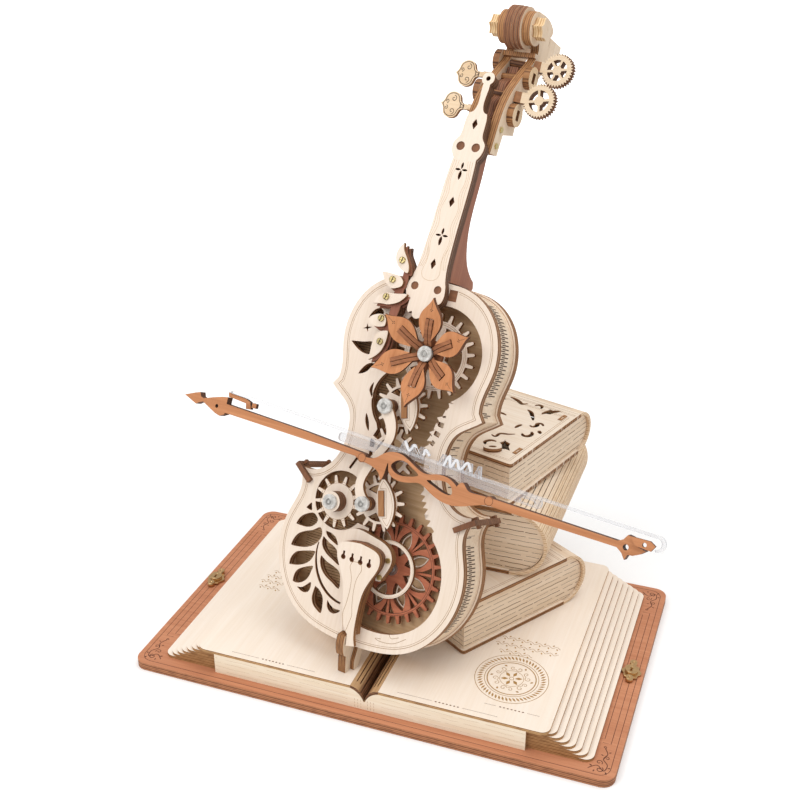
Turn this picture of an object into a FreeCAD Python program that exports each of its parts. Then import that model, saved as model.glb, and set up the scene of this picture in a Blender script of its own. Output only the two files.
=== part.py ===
import FreeCAD, Part
import math
import os

# Wooden music box: a cello of laser-cut sheets leans on three closed books, over an open book.
# Millimetres, +Z up. Origin at the centre of the base's underside, X along the front edge.

V = FreeCAD.Vector
Rotation = FreeCAD.Rotation
Placement = FreeCAD.Placement

# Sheets and clearances
SHEET = 2.0
RUN_CLEAR = 0.05
PRESS_CLEAR = 0.02
SEAT_GAP = 0.1

# Base board and open pages
BASE_WIDTH = 230.0
BASE_DEPTH = 145.0
BASE_SHEETS = 2
BASE_CORNER = 6.0
PAGE_SHEET = 1.5
PAGE_STEPS = 7
PAGE_STEP_OUT = 2.75
PAGE_DEPTH = 133.0
PAGE_CORNER = 4.0
GUTTER_X = 1.2
GUTTER_HALF = 6.7
GUTTER_DROP = 6.0
PAGE_LEFT_WIDTH = 77.5
PAGE_RIGHT_WIDTH = 77.3
PANEL_LEFT = -74.0
PANEL_RIGHT = 75.5
GUTTER_STRIP = 1.2
CLASP_LENGTH = 18.0
CLASP_WIDTH = 9.0
CLASP_X = 109.2

# Closed books: corner, heading of the head face, cover width to the spine axis, spine radius,
# length of the spine, height
LOW_CORNER = (35.5, -28.7)
LOW_HEADING = 57.5
LOW_WIDTH = 64.5
LOW_LENGTH = 80.0
LOW_HEIGHT = 27.5
MID_CORNER = (-10.0, 2.0)
MID_HEADING = 0.5
MID_WIDTH = 57.5
MID_LENGTH = 92.0
MID_HEIGHT = 35.0
TOP_CORNER = (45.4, 5.2)
TOP_HEADING = 73.0
TOP_WIDTH = 64.0
TOP_LENGTH = 50.0
TOP_HEIGHT = 22.5
BOOK_INSET = 1.5
SPINE_WALL = 1.6
SPINE_SLAT = 2.4
SPINE_SLIT = 0.4

# Cello frame: u to the right, v up the body, w to the viewer, w = 0 on the front plate's face
CELLO_ORIGIN = V(-3.89, -17.02, 106.77)
CELLO_YAW = -11.0
CELLO_LEAN = 26.0
BODY_DEPTH = 24.0
RIB_INSET = 1.3
RIB_WALL = 1.5
RIB_RUN = 4.0

# Gears: module, then tooth counts
MODULE = 1.6
TOOTH_WIDTH = 1.8
TOOTH_TIP = 1.0
TIP_ADD = 1.0
ROOT_DROP = 1.2
CRANK_TEETH = 14
LEFT_TEETH = 13
FLOWER_TEETH = 22
FLOWER_PINION_TEETH = 11
ROSETTE_TEETH = 29
ROSETTE_PINION_TEETH = 8
CRANK_LOW_AT = (0.2, -21.1)
CRANK_RADIUS = 5.0
CRANK_ANGLE = 197.0
FLOWER_HEADING = 71.8
ROSETTE_HEADING = 289.17
LEFT_HEADING = 193.1
SHAFT_RADIUS = 1.5
PIN_RADIUS = 1.25

# Levels of the train along w
GEAR_LOW_W = 0.2
FLOWER_GEAR_W = -4.0
ROSETTE_W = -8.0
MECH_W = -12.0
LINK_W = 6.0
BOW_W = 8.0

# Fingerboard, neck and pegbox
FINGER_FOOT_V = 80.0
FINGER_FOOT_W = 4.7
FINGER_TILT = 7.24
FINGER_CORE = 4.0
NECK_HALF = 4.0
CHEEK_INNER = 4.2
SCROLL_AT = (203.1, -26.8)
SCROLL_RADIUS = 9.8
SCROLL_DISCS = 4
DISC_SHEET = 2.04

BASE_TOP = BASE_SHEETS * SHEET
PAGE_TOP = BASE_TOP + (PAGE_STEPS + 1) * PAGE_SHEET
CELLO = Placement(CELLO_ORIGIN, Rotation(V(0, 0, 1), CELLO_YAW)).multiply(
    Placement(V(0, 0, 0), Rotation(V(1, 0, 0), 90 - CELLO_LEAN)))


def point(p, z=0.0):
    return V(p[0], p[1], z)


def segment(a, b):
    return Part.makeLine(point(a), point(b))


def arc(a, middle, b):
    return Part.Arc(point(a), point(middle), point(b)).toShape()


def curve(points):
    spline = Part.BSplineCurve()
    spline.interpolate([point(p) for p in points])
    return spline.toShape()


def extrude(edges, low, high):
    """Closed chain of edges in the z = 0 plane, as a plate from low to high."""
    face = Part.Face(Part.Wire(Part.__sortEdges__(edges)))
    face.translate(V(0, 0, low))
    return face.extrude(V(0, 0, high - low))


def polygon(points, low, high):
    edges = [segment(a, b) for a, b in zip(points, points[1:] + points[:1])]
    return extrude(edges, low, high)


def blob(points, low, high):
    """Closed smooth outline through the points."""
    spline = Part.BSplineCurve()
    spline.interpolate([point(p) for p in points], PeriodicFlag=True)
    return extrude([spline.toShape()], low, high)


def lens(a, side_one, b, side_two, low, high):
    """Leaf between the tips a and b, bowed through one point on each side."""
    return extrude([arc(a, side_one, b), arc(b, side_two, a)], low, high)


def disc(at, radius, low, high):
    return Part.makeCylinder(radius, high - low, V(at[0], at[1], low))


def box(x0, x1, y0, y1, z0, z1):
    return Part.makeBox(x1 - x0, y1 - y0, z1 - z0, V(x0, y0, z0))


def rounded_box(x0, x1, y0, y1, z0, z1, radius, corners=(1, 1, 1, 1)):
    """Slab with vertical corners rounded; corners go counter-clockwise from the lowest x and y."""
    slab = box(x0, x1, y0, y1, z0, z1)
    places = [(x0, y0), (x1, y0), (x1, y1), (x0, y1)]
    wanted = [p for p, on in zip(places, corners) if on]
    edges = []
    for edge in slab.Edges:
        middle = edge.CenterOfMass
        upright = abs(edge.Vertexes[0].Z - edge.Vertexes[1].Z) > 0.1
        near = any(abs(middle.x - x) < 0.01 and abs(middle.y - y) < 0.01 for x, y in wanted)
        if upright and near:
            edges.append(edge)
    return slab.makeFillet(radius, edges)


def side_profile(edges, low, high):
    """Profile drawn with w along x and v along y, extruded along u from low to high."""
    shape = extrude(edges, 0, high - low)
    shape.rotate(V(0, 0, 0), V(0, 1, 0), -90)
    return shifted(shape, high, 0, 0)


def across(v, w, radius, low, high):
    """Round bar along u."""
    return Part.makeCylinder(radius, high - low, V(low, v, w), V(1, 0, 0))


def polar(at, radius, degrees):
    turn = math.radians(degrees)
    return (at[0] + radius * math.cos(turn), at[1] + radius * math.sin(turn))


def shifted(shape, x, y, z):
    copy = shape.copy()
    copy.translate(V(x, y, z))
    return copy


def mirrored(shape):
    return shape.mirror(V(0, 0, 0), V(1, 0, 0))


def turned(shape, degrees, at=(0, 0)):
    copy = shape.copy()
    copy.rotate(V(at[0], at[1], 0), V(0, 0, 1), degrees)
    return copy


def export(name, *shapes):
    solids = []
    for shape in shapes:
        solids.extend(shape.Solids)
    if not solids:
        raise ValueError(name + " has no solid")
    Part.Compound(solids).exportStep("parts/" + name + ".step")


def export_cello(name, *shapes):
    placed = []
    for shape in shapes:
        copy = shape.copy()
        copy.Placement = CELLO.multiply(copy.Placement)
        placed.append(copy)
    export(name, *placed)


# Gears

def pitch_radius(teeth):
    return teeth * MODULE / 2


def gear_wire(teeth, at, phase):
    """Slim round-tipped teeth; phase is the direction of one tooth, in degrees."""
    pitch = pitch_radius(teeth)
    root = pitch - ROOT_DROP * MODULE
    tip = pitch + TIP_ADD * MODULE
    step = 360.0 / teeth
    root_half = math.degrees(math.asin(TOOTH_WIDTH / 2 / root))
    tip_half = math.degrees(math.asin(TOOTH_TIP / 2 / tip))
    shoulder = tip - TOOTH_TIP * 0.45
    edges = []
    for k in range(teeth):
        a = phase + k * step
        foot = polar(at, root, a - root_half)
        rise = polar(at, shoulder, a - tip_half * 1.25)
        crown = polar(at, tip, a)
        fall = polar(at, shoulder, a + tip_half * 1.25)
        heel = polar(at, root, a + root_half)
        after = polar(at, root, a + step - root_half)
        edges.append(segment(foot, rise))
        edges.append(arc(rise, crown, fall))
        edges.append(segment(fall, heel))
        edges.append(segment(heel, after))
    return Part.Wire(edges)


def gear(teeth, at, phase, low, bore):
    """Toothed sheet with a bore for its shaft."""
    face = Part.Face(gear_wire(teeth, at, phase))
    face.translate(V(0, 0, low))
    wheel = face.extrude(V(0, 0, SHEET))
    return wheel.cut(disc(at, bore, low - 1, low + SHEET + 1))


def meshed_phase(heading, teeth_one, phase_one, teeth_two):
    """Phase of wheel two whose space faces the tooth of wheel one, heading from one to two."""
    return heading + 180 + 180.0 / teeth_two - (phase_one - heading) * teeth_one / teeth_two


CRANK_SPAN = 2 * pitch_radius(CRANK_TEETH)
IDLER_AT = (CRANK_LOW_AT[0], CRANK_LOW_AT[1] + CRANK_SPAN)
CRANK_UP_AT = (IDLER_AT[0], IDLER_AT[1] + CRANK_SPAN)
LEFT_AT = polar(CRANK_LOW_AT, pitch_radius(CRANK_TEETH + LEFT_TEETH), LEFT_HEADING)
FLOWER_AT = polar(CRANK_UP_AT, pitch_radius(FLOWER_TEETH + FLOWER_PINION_TEETH), FLOWER_HEADING)
ROSETTE_AT = polar(CRANK_LOW_AT, pitch_radius(ROSETTE_TEETH + ROSETTE_PINION_TEETH), ROSETTE_HEADING)
PIN_LOW_AT = polar(CRANK_LOW_AT, CRANK_RADIUS, CRANK_ANGLE)
PIN_UP_AT = polar(CRANK_UP_AT, CRANK_RADIUS, CRANK_ANGLE)

ROSETTE_PHASE = 6.0
PINION_LOW_PHASE = meshed_phase(ROSETTE_HEADING + 180, ROSETTE_TEETH, ROSETTE_PHASE,
                                ROSETTE_PINION_TEETH)
CRANK_LOW_PHASE = 13.86
IDLER_PHASE = meshed_phase(90, CRANK_TEETH, CRANK_LOW_PHASE, CRANK_TEETH)
CRANK_UP_PHASE = meshed_phase(90, CRANK_TEETH, IDLER_PHASE, CRANK_TEETH)
LEFT_PHASE = meshed_phase(LEFT_HEADING, CRANK_TEETH, CRANK_LOW_PHASE, LEFT_TEETH)
PINION_UP_PHASE = 10.0
FLOWER_PHASE = meshed_phase(FLOWER_HEADING, FLOWER_PINION_TEETH, PINION_UP_PHASE, FLOWER_TEETH)


# Base board, clasps and open pages

def base_sheet(low):
    half_x = BASE_WIDTH / 2
    half_y = BASE_DEPTH / 2
    return rounded_box(-half_x, half_x, -half_y, half_y, low, low + SHEET, BASE_CORNER)


def clasp(side):
    """Lock-shaped catch: a barred plate with a round nose over a flat tab."""
    half = CLASP_LENGTH / 2
    low = BASE_TOP
    plate = rounded_box(CLASP_X - 2.6, CLASP_X + 2.6, -half, half, low, low + SHEET, 1.2)
    nose = disc((CLASP_X, 0), CLASP_WIDTH / 2, low, low + SHEET)
    lock = rounded_box(CLASP_X - 3.4, CLASP_X + 2.2, -3.2, 3.2, low + SHEET, low + 2 * SHEET, 1.0)
    keyhole = disc((CLASP_X - 0.6, 0), 0.9, low + SHEET, low + 3 * SHEET)
    pins = [disc((CLASP_X, s * (half - 2.2)), 0.8, low - 1, low + 3 * SHEET) for s in (-1, 1)]
    shape = plate.fuse(nose).fuse(lock).cut([keyhole] + pins).removeSplitter()
    return shape if side > 0 else mirrored(shape)


def page_edges(side):
    """Inner and outer x of the top page on one side of the gutter."""
    inner = GUTTER_X + side * GUTTER_HALF
    width = PAGE_RIGHT_WIDTH if side > 0 else PAGE_LEFT_WIDTH
    return inner, inner + side * width


def page_sheet(side, level):
    """Sheet number level from the bottom; each lower sheet stands out a step further."""
    inner, outer = page_edges(side)
    steps = PAGE_STEPS - level
    far = outer + side * steps * PAGE_STEP_OUT
    half = PAGE_DEPTH / 2
    if steps > 0:
        half -= SHEET
    low = BASE_TOP + level * PAGE_SHEET
    corners = (0, 1, 1, 0) if side > 0 else (1, 0, 0, 1)
    return rounded_box(min(inner, far), max(inner, far), -half, half, low, low + PAGE_SHEET,
                       PAGE_CORNER, corners)


def gutter_arcs(side, drop):
    """Curve from the page's lip down to the bottom of the gutter, in the x-z plane."""
    lip = (GUTTER_X + side * GUTTER_HALF, PAGE_TOP - drop)
    middle = (GUTTER_X + side * (GUTTER_HALF * 0.42 + drop * 0.3), PAGE_TOP - GUTTER_DROP * 0.28 - drop)
    foot = (GUTTER_X + side * 0.4, PAGE_TOP - GUTTER_DROP - drop)
    return arc(lip, middle, foot), lip, foot


def upright(shape, front):
    """Turns a profile drawn in x-y, extruded along +z, so that it stands in x-z behind front."""
    shape.rotate(V(0, 0, 0), V(1, 0, 0), 90)
    shape.translate(V(0, front, 0))
    return shape


def gutter_strip(side):
    upper, lip, foot = gutter_arcs(side, 0)
    lower, lip_low, foot_low = gutter_arcs(side, GUTTER_STRIP)
    edges = [upper, segment(lip, lip_low), lower, segment(foot, foot_low)]
    strip = upright(extrude(edges, 0, PAGE_DEPTH), PAGE_DEPTH / 2)
    slits = []
    for k in range(1, 4):
        x = GUTTER_X + side * GUTTER_HALF * k / 4.0
        slits.append(box(x - 0.2, x + 0.2, -PAGE_DEPTH / 2 + 4, PAGE_DEPTH / 2 - 4, 0, PAGE_TOP + 1))
    return strip.cut(slits)


def page_panel(front):
    """Panel that closes the page block, notched where the pages curve down into the gutter."""
    top = PAGE_TOP - PAGE_SHEET
    right, lip_right, foot_right = gutter_arcs(1, PAGE_SHEET)
    left, lip_left, foot_left = gutter_arcs(-1, PAGE_SHEET)
    corners = [lip_left, (PANEL_LEFT, top), (PANEL_LEFT, BASE_TOP), (PANEL_RIGHT, BASE_TOP),
               (PANEL_RIGHT, top), lip_right]
    edges = [segment(a, b) for a, b in zip(corners, corners[1:])]
    edges += [right, left, segment(foot_left, foot_right)]
    return upright(extrude(edges, 0, SHEET), front)


# Closed books

def book_frame(corner, heading, low):
    return Placement(V(corner[0], corner[1], low), Rotation(V(0, 0, 1), heading))


def book_cover(width, length, low):
    return rounded_box(0, width, 0, length, low, low + SHEET, 1.5, (1, 0, 0, 1))


def book_walls(width, length, height):
    """Head, tail and fore-edge walls between the covers; head and tail reach into the round spine."""
    low = SHEET
    high = height - SHEET
    reach = width + height / 2 - SPINE_WALL - 0.3
    bulge = height / 2 - SPINE_WALL - 0.3
    parts = []
    for front in (BOOK_INSET, length - BOOK_INSET - SHEET):
        wall = box(BOOK_INSET, width, front, front + SHEET, low, high)
        nose = Part.makeCylinder(bulge, SHEET, V(width, front, height / 2), V(0, 1, 0))
        nose = nose.common(box(width - 0.01, reach + 1, front, front + SHEET, low, high))
        parts.append(wall.fuse(nose).removeSplitter())
    inner = BOOK_INSET + SHEET
    parts.append(box(BOOK_INSET, BOOK_INSET + SHEET, inner, length - inner, low, high))
    return parts


def book_spine(width, length, height):
    """Half round of slats joined at both ends, bent round the spine axis."""
    radius = height / 2
    axis = V(width, 0, radius)
    shell = Part.makeCylinder(radius, length, axis, V(0, 1, 0))
    shell = shell.cut(Part.makeCylinder(radius - SPINE_WALL, length, axis, V(0, 1, 0)))
    shell = shell.common(box(width, width + radius + 1, 0, length, -1, height + 1))
    slits = []
    count = int(math.pi * radius / SPINE_SLAT)
    for k in range(1, count):
        slit = box(radius - SPINE_WALL - 1, radius + 1, 6, length - 6, -SPINE_SLIT / 2, SPINE_SLIT / 2)
        slit.rotate(V(0, 0, 0), V(0, 1, 0), 90 - 180.0 * k / count)
        slit.translate(axis)
        slits.append(slit)
    return shell.cut(slits)


def place_all(shapes, placement):
    placed = []
    for shape in shapes:
        copy = shape.copy()
        copy.Placement = placement.multiply(copy.Placement)
        placed.append(copy)
    return placed


# Ornament of the top book's cover: centre x, y, size of each cut; leaves, rings and a star
COVER_LEAVES = ((12, 8, 30), (52, 10, 120), (14, 42, -40), (50, 40, 60), (33, 8, 90), (34, 43, 0))


def cover_cuts(width, length):
    cuts = []
    for x, y, heading in COVER_LEAVES:
        here = (x * width / 64.0, y * length / 50.0)
        for spin in (0, 65, -65):
            a = polar(here, 1.2, heading + spin)
            b = polar(here, 6.2, heading + spin)
            one = polar(here, 3.9, heading + spin + 21)
            two = polar(here, 3.9, heading + spin - 21)
            cuts.append(lens(a, one, b, two, -1, SHEET + 1))
    middle = (width * 0.52, length * 0.5)
    for turn in range(0, 360, 60):
        one = polar(middle, 5.0, turn + 14)
        two = polar(middle, 5.0, turn - 14)
        cuts.append(lens(polar(middle, 2.0, turn), one, polar(middle, 8.0, turn), two, -1, SHEET + 1))
    return cuts


BADGE_LENGTH = 12.4
BADGE_WIDTH = 6.9
BADGE_RIM = 1.8


def badge(width, length):
    """Raised oval ring on the top cover, with two small pads."""
    at = (width * 0.30, length * 0.42)
    shapes = []
    outer = Part.Ellipse(V(0, 0, 0), BADGE_LENGTH / 2, BADGE_WIDTH / 2).toShape()
    inner = Part.Ellipse(V(0, 0, 0), BADGE_LENGTH / 2 - BADGE_RIM, BADGE_WIDTH / 2 - BADGE_RIM).toShape()
    ring = extrude([outer], 0, SHEET).cut(extrude([inner], 0, SHEET))
    shapes.append(shifted(ring, at[0], at[1], 0))
    shapes.append(rounded_box(width * 0.78, width * 0.78 + 7, 15, 20, 0, SHEET, 1.0))
    shapes.append(rounded_box(width * 0.10, width * 0.10 + 5, 33, 37, 0, SHEET, 1.0))
    return shapes


def make_books():
    low = PAGE_TOP
    frame = book_frame(LOW_CORNER, LOW_HEADING, low)
    covers = [book_cover(LOW_WIDTH, LOW_LENGTH, 0), book_cover(LOW_WIDTH, LOW_LENGTH, LOW_HEIGHT - SHEET)]
    export("book_low_covers", *place_all(covers, frame))
    export("book_low_walls", *place_all(book_walls(LOW_WIDTH, LOW_LENGTH, LOW_HEIGHT), frame))
    export("book_low_spine", *place_all([book_spine(LOW_WIDTH, LOW_LENGTH, LOW_HEIGHT)], frame))
    low += LOW_HEIGHT
    frame = book_frame(MID_CORNER, MID_HEADING, low)
    covers = [book_cover(MID_WIDTH, MID_LENGTH, 0), book_cover(MID_WIDTH, MID_LENGTH, MID_HEIGHT - SHEET)]
    export("book_mid_covers", *place_all(covers, frame))
    export("book_mid_walls", *place_all(book_walls(MID_WIDTH, MID_LENGTH, MID_HEIGHT), frame))
    export("book_mid_spine", *place_all([book_spine(MID_WIDTH, MID_LENGTH, MID_HEIGHT)], frame))
    low += MID_HEIGHT
    frame = book_frame(TOP_CORNER, TOP_HEADING, low)
    lid = book_cover(TOP_WIDTH, TOP_LENGTH, 0).cut(cover_cuts(TOP_WIDTH, TOP_LENGTH))
    lid = shifted(lid, 0, 0, TOP_HEIGHT - SHEET)
    pads = [shifted(s, 0, 0, TOP_HEIGHT) for s in badge(TOP_WIDTH, TOP_LENGTH)]
    export("book_top_covers", *place_all([book_cover(TOP_WIDTH, TOP_LENGTH, 0), lid] + pads, frame))
    export("book_top_walls", *place_all(book_walls(TOP_WIDTH, TOP_LENGTH, TOP_HEIGHT), frame))
    export("book_top_spine", *place_all([book_spine(TOP_WIDTH, TOP_LENGTH, TOP_HEIGHT)], frame))


def make_base():
    export("base_board", *[base_sheet(k * SHEET) for k in range(BASE_SHEETS)])
    export("clasps", clasp(1), clasp(-1))
    export("page_left", page_sheet(-1, PAGE_STEPS))
    export("page_right", page_sheet(1, PAGE_STEPS))
    export("page_steps", *[page_sheet(side, k) for side in (-1, 1) for k in range(PAGE_STEPS)])
    export("page_panels", page_panel(-PAGE_DEPTH / 2 + SHEET), page_panel(PAGE_DEPTH / 2))
    export("gutter_hinge", gutter_strip(-1), gutter_strip(1))


# Cello body outline, right half from the top centre to the bottom centre

UPPER_BOUT = [(0, 82), (9, 81), (16, 80.3), (23, 78), (29.5, 73.5), (34, 68), (37, 61.5), (38.6, 54),
              (38.5, 47), (36, 33), (36.3, 29)]
UPPER_TIP = (38.8, 25.5)
WAIST = [UPPER_TIP, (34.5, 22.3), (28, 17), (25.2, 6), (27.5, -6), (34.5, -14), (44.5, -15.5)]
LOWER_TIP = (44.8, -17.5)
LOWER_BOUT = [LOWER_TIP, (42.8, -25.5), (46.5, -38), (47.6, -54), (42, -69), (29, -81.5), (10, -86.5),
              (0, -87)]


def body_edges(side):
    def flip(points):
        return [(side * x, y) for x, y in points]
    return [curve(flip(UPPER_BOUT)),
            segment(*flip([UPPER_BOUT[-1], UPPER_TIP])),
            curve(flip(WAIST)),
            segment(*flip([WAIST[-1], LOWER_TIP])),
            curve(flip(LOWER_BOUT))]


BODY_WIRE = Part.Wire(Part.__sortEdges__(body_edges(1) + body_edges(-1)))


def outline_runs():
    """Body outline as short straight runs, each with its start and its direction."""
    points = []
    for edge in Part.__sortEdges__(body_edges(1) + body_edges(-1)):
        count = max(1, int(edge.Length / RIB_RUN))
        points.extend(edge.discretize(Number=count + 1)[:-1])
    ends = points[1:] + points[:1]
    return [(a, (b - a).normalize()) for a, b in zip(points, ends)]


def crossing(run_one, run_two):
    """Point where two straight runs meet when both are extended."""
    (a, u), (b, v) = run_one, run_two
    slant = u.x * v.y - u.y * v.x
    if abs(slant) < 1e-6:
        return b
    gap = b - a
    return a + u * ((gap.x * v.y - gap.y * v.x) / slant)


def inset_face(inset):
    """Body outline moved inwards; runs that a tip leaves no room for are dropped."""
    runs = [(a + V(u.y, -u.x, 0) * inset, u) for a, u in outline_runs()]
    while True:
        corners = [crossing(runs[k - 1], runs[k]) for k in range(len(runs))]
        ends = corners[1:] + corners[:1]
        forward = [(b - a).dot(u) for a, b, (_, u) in zip(corners, ends, runs)]
        if min(forward) > 0:
            break
        runs.pop(forward.index(min(forward)))
    return Part.Face(Part.makePolygon(corners + corners[:1]))


def body_plate(low):
    face = Part.Face(BODY_WIRE)
    face.translate(V(0, 0, low))
    return face.extrude(V(0, 0, SHEET))


def ribs():
    """Side walls of the body, between the back plate and the front backing."""
    low = -BODY_DEPTH + 2 * SHEET
    high = -2 * SHEET
    wall = inset_face(RIB_INSET).cut(inset_face(RIB_INSET + RIB_WALL))
    wall.translate(V(0, 0, low))
    return wall.extrude(V(0, 0, high - low))


# Openings of the front: centre line of the train, with a pierced left side

FLOWER_OPENING = 22.0
CRANK_OPENING = 16.0
LEFT_OPENING = 13.56


def train_opening(low, high):
    """Opening that shows the train: three round windows joined by a curved throat."""
    throat = [(23.5, 30.5), (18.5, 21), (16.6, 12), (16.4, 2), (19, -9), (23, -17), (29, -30)]
    left = [(-3, -33.6), (-9.5, -33.0), (-12.0, -20), (-13.6, -10), (-11.5, -3), (-12.8, 5), (-10.5, 10.5),
            (-14, 18), (-14.5, 30), (-5, 34)]
    edges = [curve(throat), segment(throat[0], left[-1]), segment(throat[-1], left[0])]
    edges += [segment(a, b) for a, b in zip(left, left[1:])]
    shape = extrude(edges, low, high)
    shape = shape.fuse(disc((FLOWER_AT[0] + 1.6, FLOWER_AT[1] + 0.5), FLOWER_OPENING, low, high))
    shape = shape.fuse(disc((CRANK_UP_AT[0] - 1.2, CRANK_UP_AT[1] + 1.3), CRANK_OPENING, low, high))
    return shape.fuse(disc((LEFT_AT[0] + 0.2, LEFT_AT[1] + 0.5), LEFT_OPENING, low, high))


def rosette_opening(low, high):
    """Lower opening over the rosette gear."""
    rim = [(29, -30), (35, -38), (37.8, -48), (37.2, -58), (33, -67), (25, -73.8), (12, -77.6), (3, -77.4)]
    edges = [curve(rim), segment(rim[-1], (-3, -76)), segment((-3, -76), (-3, -33.6)),
             segment((-3, -33.6), rim[0])]
    return extrude(edges, low, high)


def edge_notches(low, high):
    """Square notches along the throat's right side, like the teeth of a ring gear."""
    cuts = []
    arcs = [((-4.5, 22.0), 24.5, 16, -36, 6), ((43.0, -6.0), 26.0, 178, 232, 6)]
    for centre, radius, first, last, count in arcs:
        for k in range(count):
            turn = first + (last - first) * k / (count - 1.0)
            here = polar(centre, radius, turn)
            notch = box(-1.5, 1.5, -1.1, 1.1, low, high)
            notch.rotate(V(0, 0, 0), V(0, 0, 1), turn)
            cuts.append(shifted(notch, here[0], here[1], 0))
    return cuts


# Pierced ornaments of the front: tip, side, tip, side
FRONT_LEAVES = [
    ((-33.5, 46.3), (-28.5, 48.6), (-23.8, 46.4), (-28.5, 43.6)),
    ((-26.5, 33.0), (-23.6, 38.0), (-18.3, 37.2), (-22.0, 34.8)),
    ((-21.0, 30.5), (-22.2, 27.8), (-20.0, 25.0), (-20.6, 27.8)),
    ((-18.0, 16.5), (-16.0, 13.6), (-14.6, 8.4), (-17.1, 11.6)),
    ((-29.0, 60.0), (-28.0, 64.3), (-23.5, 65.0), (-25.6, 61.0)),
    ((-41.5, -42.6), (-39.5, -36.6), (-31.0, -35.6), (-33.5, -41.4)),
    ((-41.7, -52.6), (-37.2, -43.2), (-27.6, -39.6), (-31.2, -50.2)),
    ((-40.3, -61.4), (-37.0, -53.6), (-28.2, -51.2), (-31.0, -58.6)),
    ((-36.4, -68.4), (-34.8, -60.8), (-27.0, -57.8), (-28.8, -66.0)),
    ((-33.3, -70.3), (-28.6, -71.8), (-26.4, -66.2), (-28.8, -69.0)),
    ((-23.5, -66.8), (-18.6, -70.2), (-17.6, -78.2), (-24.4, -73.4)),
    ((-15.6, -71.2), (-12.6, -73.6), (-8.0, -74.4), (-12.8, -76.6)),
    ((-37.6, -34.2), (-35.6, -31.2), (-34.4, -33.8), (-36.0, -34.4)),
    ((-24.6, -41.0), (-19.5, -41.6), (-16.4, -45.6), (-21.8, -44.6)),
    ((-25.2, -43.6), (-18.4, -46.8), (-13.8, -54.2), (-21.8, -51.6)),
    ((-24.4, -52.8), (-15.4, -55.2), (-11.4, -64.6), (-19.4, -61.2)),
]
STAR_AT = (-30.5, 53.0)
TENON_AT = (11.25, 76.15)
TENON_HALF = (2.0, 2.5)
SLIT_ENDS = ((-20.5, -10.0), (-17.0, -4.0))
STEM = [(-26.6, -47.0), (-25.8, -55.0), (-21.6, -63.0), (-16.0, -67.8), (-8.6, -70.2)]
STEM_BACK = [(-8.6, -71.2), (-16.6, -69.0), (-22.6, -64.0), (-26.8, -55.4), (-27.2, -47.0)]


def front_cuts(low, high):
    cuts = [lens(*leaf, low, high) for leaf in FRONT_LEAVES]
    for k in range(4):
        a = polar(STAR_AT, 0.3, 45 * (2 * k) + 20)
        b = polar(STAR_AT, 2.6, 45 * (2 * k) + 20)
        spread = 25
        cuts.append(lens(a, polar(STAR_AT, 1.3, 90 * k + 20 + spread), b,
                         polar(STAR_AT, 1.3, 90 * k + 20 - spread), low, high))
    (x0, y0), (x1, y1) = SLIT_ENDS
    cuts.append(polygon([(x0, y0), (x0 + 1.2, y0 - 0.4), (x1 + 0.6, y1 - 0.4), (x1 - 0.6, y1)], low, high))
    stem = [curve(STEM), segment(STEM[-1], STEM_BACK[0]), curve(STEM_BACK), segment(STEM_BACK[-1], STEM[0])]
    cuts.append(extrude(stem, low, high))
    return cuts


def make_body():
    back = body_plate(-BODY_DEPTH).fuse(body_plate(-BODY_DEPTH + SHEET)).removeSplitter()
    key_bore = disc(KEY_AT, KEY_SHAFT + RUN_CLEAR, -BODY_DEPTH - 1, -BODY_DEPTH + 5)
    export_cello("back_plate", back.cut(key_bore))
    export_cello("ribs", ribs())
    backing = body_plate(-2 * SHEET)
    plate = body_plate(-SHEET)
    low = -3 * SHEET
    high = SHEET
    openings = [train_opening(low, high), rosette_opening(low, high)] + front_cuts(low, high)
    x, y = TENON_AT
    tenon = box(x - TENON_HALF[0], x + TENON_HALF[0], y - TENON_HALF[1], y + TENON_HALF[1], -SHEET, 0)
    slot = box(x - TENON_HALF[0] - PRESS_CLEAR, x + TENON_HALF[0] + PRESS_CLEAR,
               y - TENON_HALF[1] - PRESS_CLEAR, y + TENON_HALF[1] + PRESS_CLEAR, low, high)
    export_cello("front_backing", backing.cut(openings).fuse(tenon).removeSplitter())
    export_cello("front_plate", plate.cut(openings + edge_notches(low, high) + [slot]))
    mech = inset_face(RIB_INSET + RIB_WALL + SEAT_GAP)
    mech = shifted(mech, 0, 0, MECH_W).extrude(V(0, 0, SHEET))
    bores = [disc(at, SHAFT_RADIUS + RUN_CLEAR, MECH_W - 1, MECH_W + 3)
             for at in (CRANK_LOW_AT, IDLER_AT, CRANK_UP_AT, LEFT_AT, FLOWER_AT, ROSETTE_AT)]
    export_cello("mech_plate", mech.cut(bores))
    ring = disc(ROSETTE_AT, 13.0, -2 * SHEET, -SHEET).cut(disc(ROSETTE_AT, 11.4, -2 * SHEET, -SHEET))
    ring = ring.cut(box(-30, -3, -90, 0, -5, 0))
    export_cello("lyre_ring", ring)


TIES = ((1, (45.4, -17.8), 34.0), (-1, (44.9, -15.9), 38.0))
TIE_REACH = 8.6
TIE_GAP = 0.35
TIE_HALF = 1.2
TIE_WEDGE = 2.6


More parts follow.
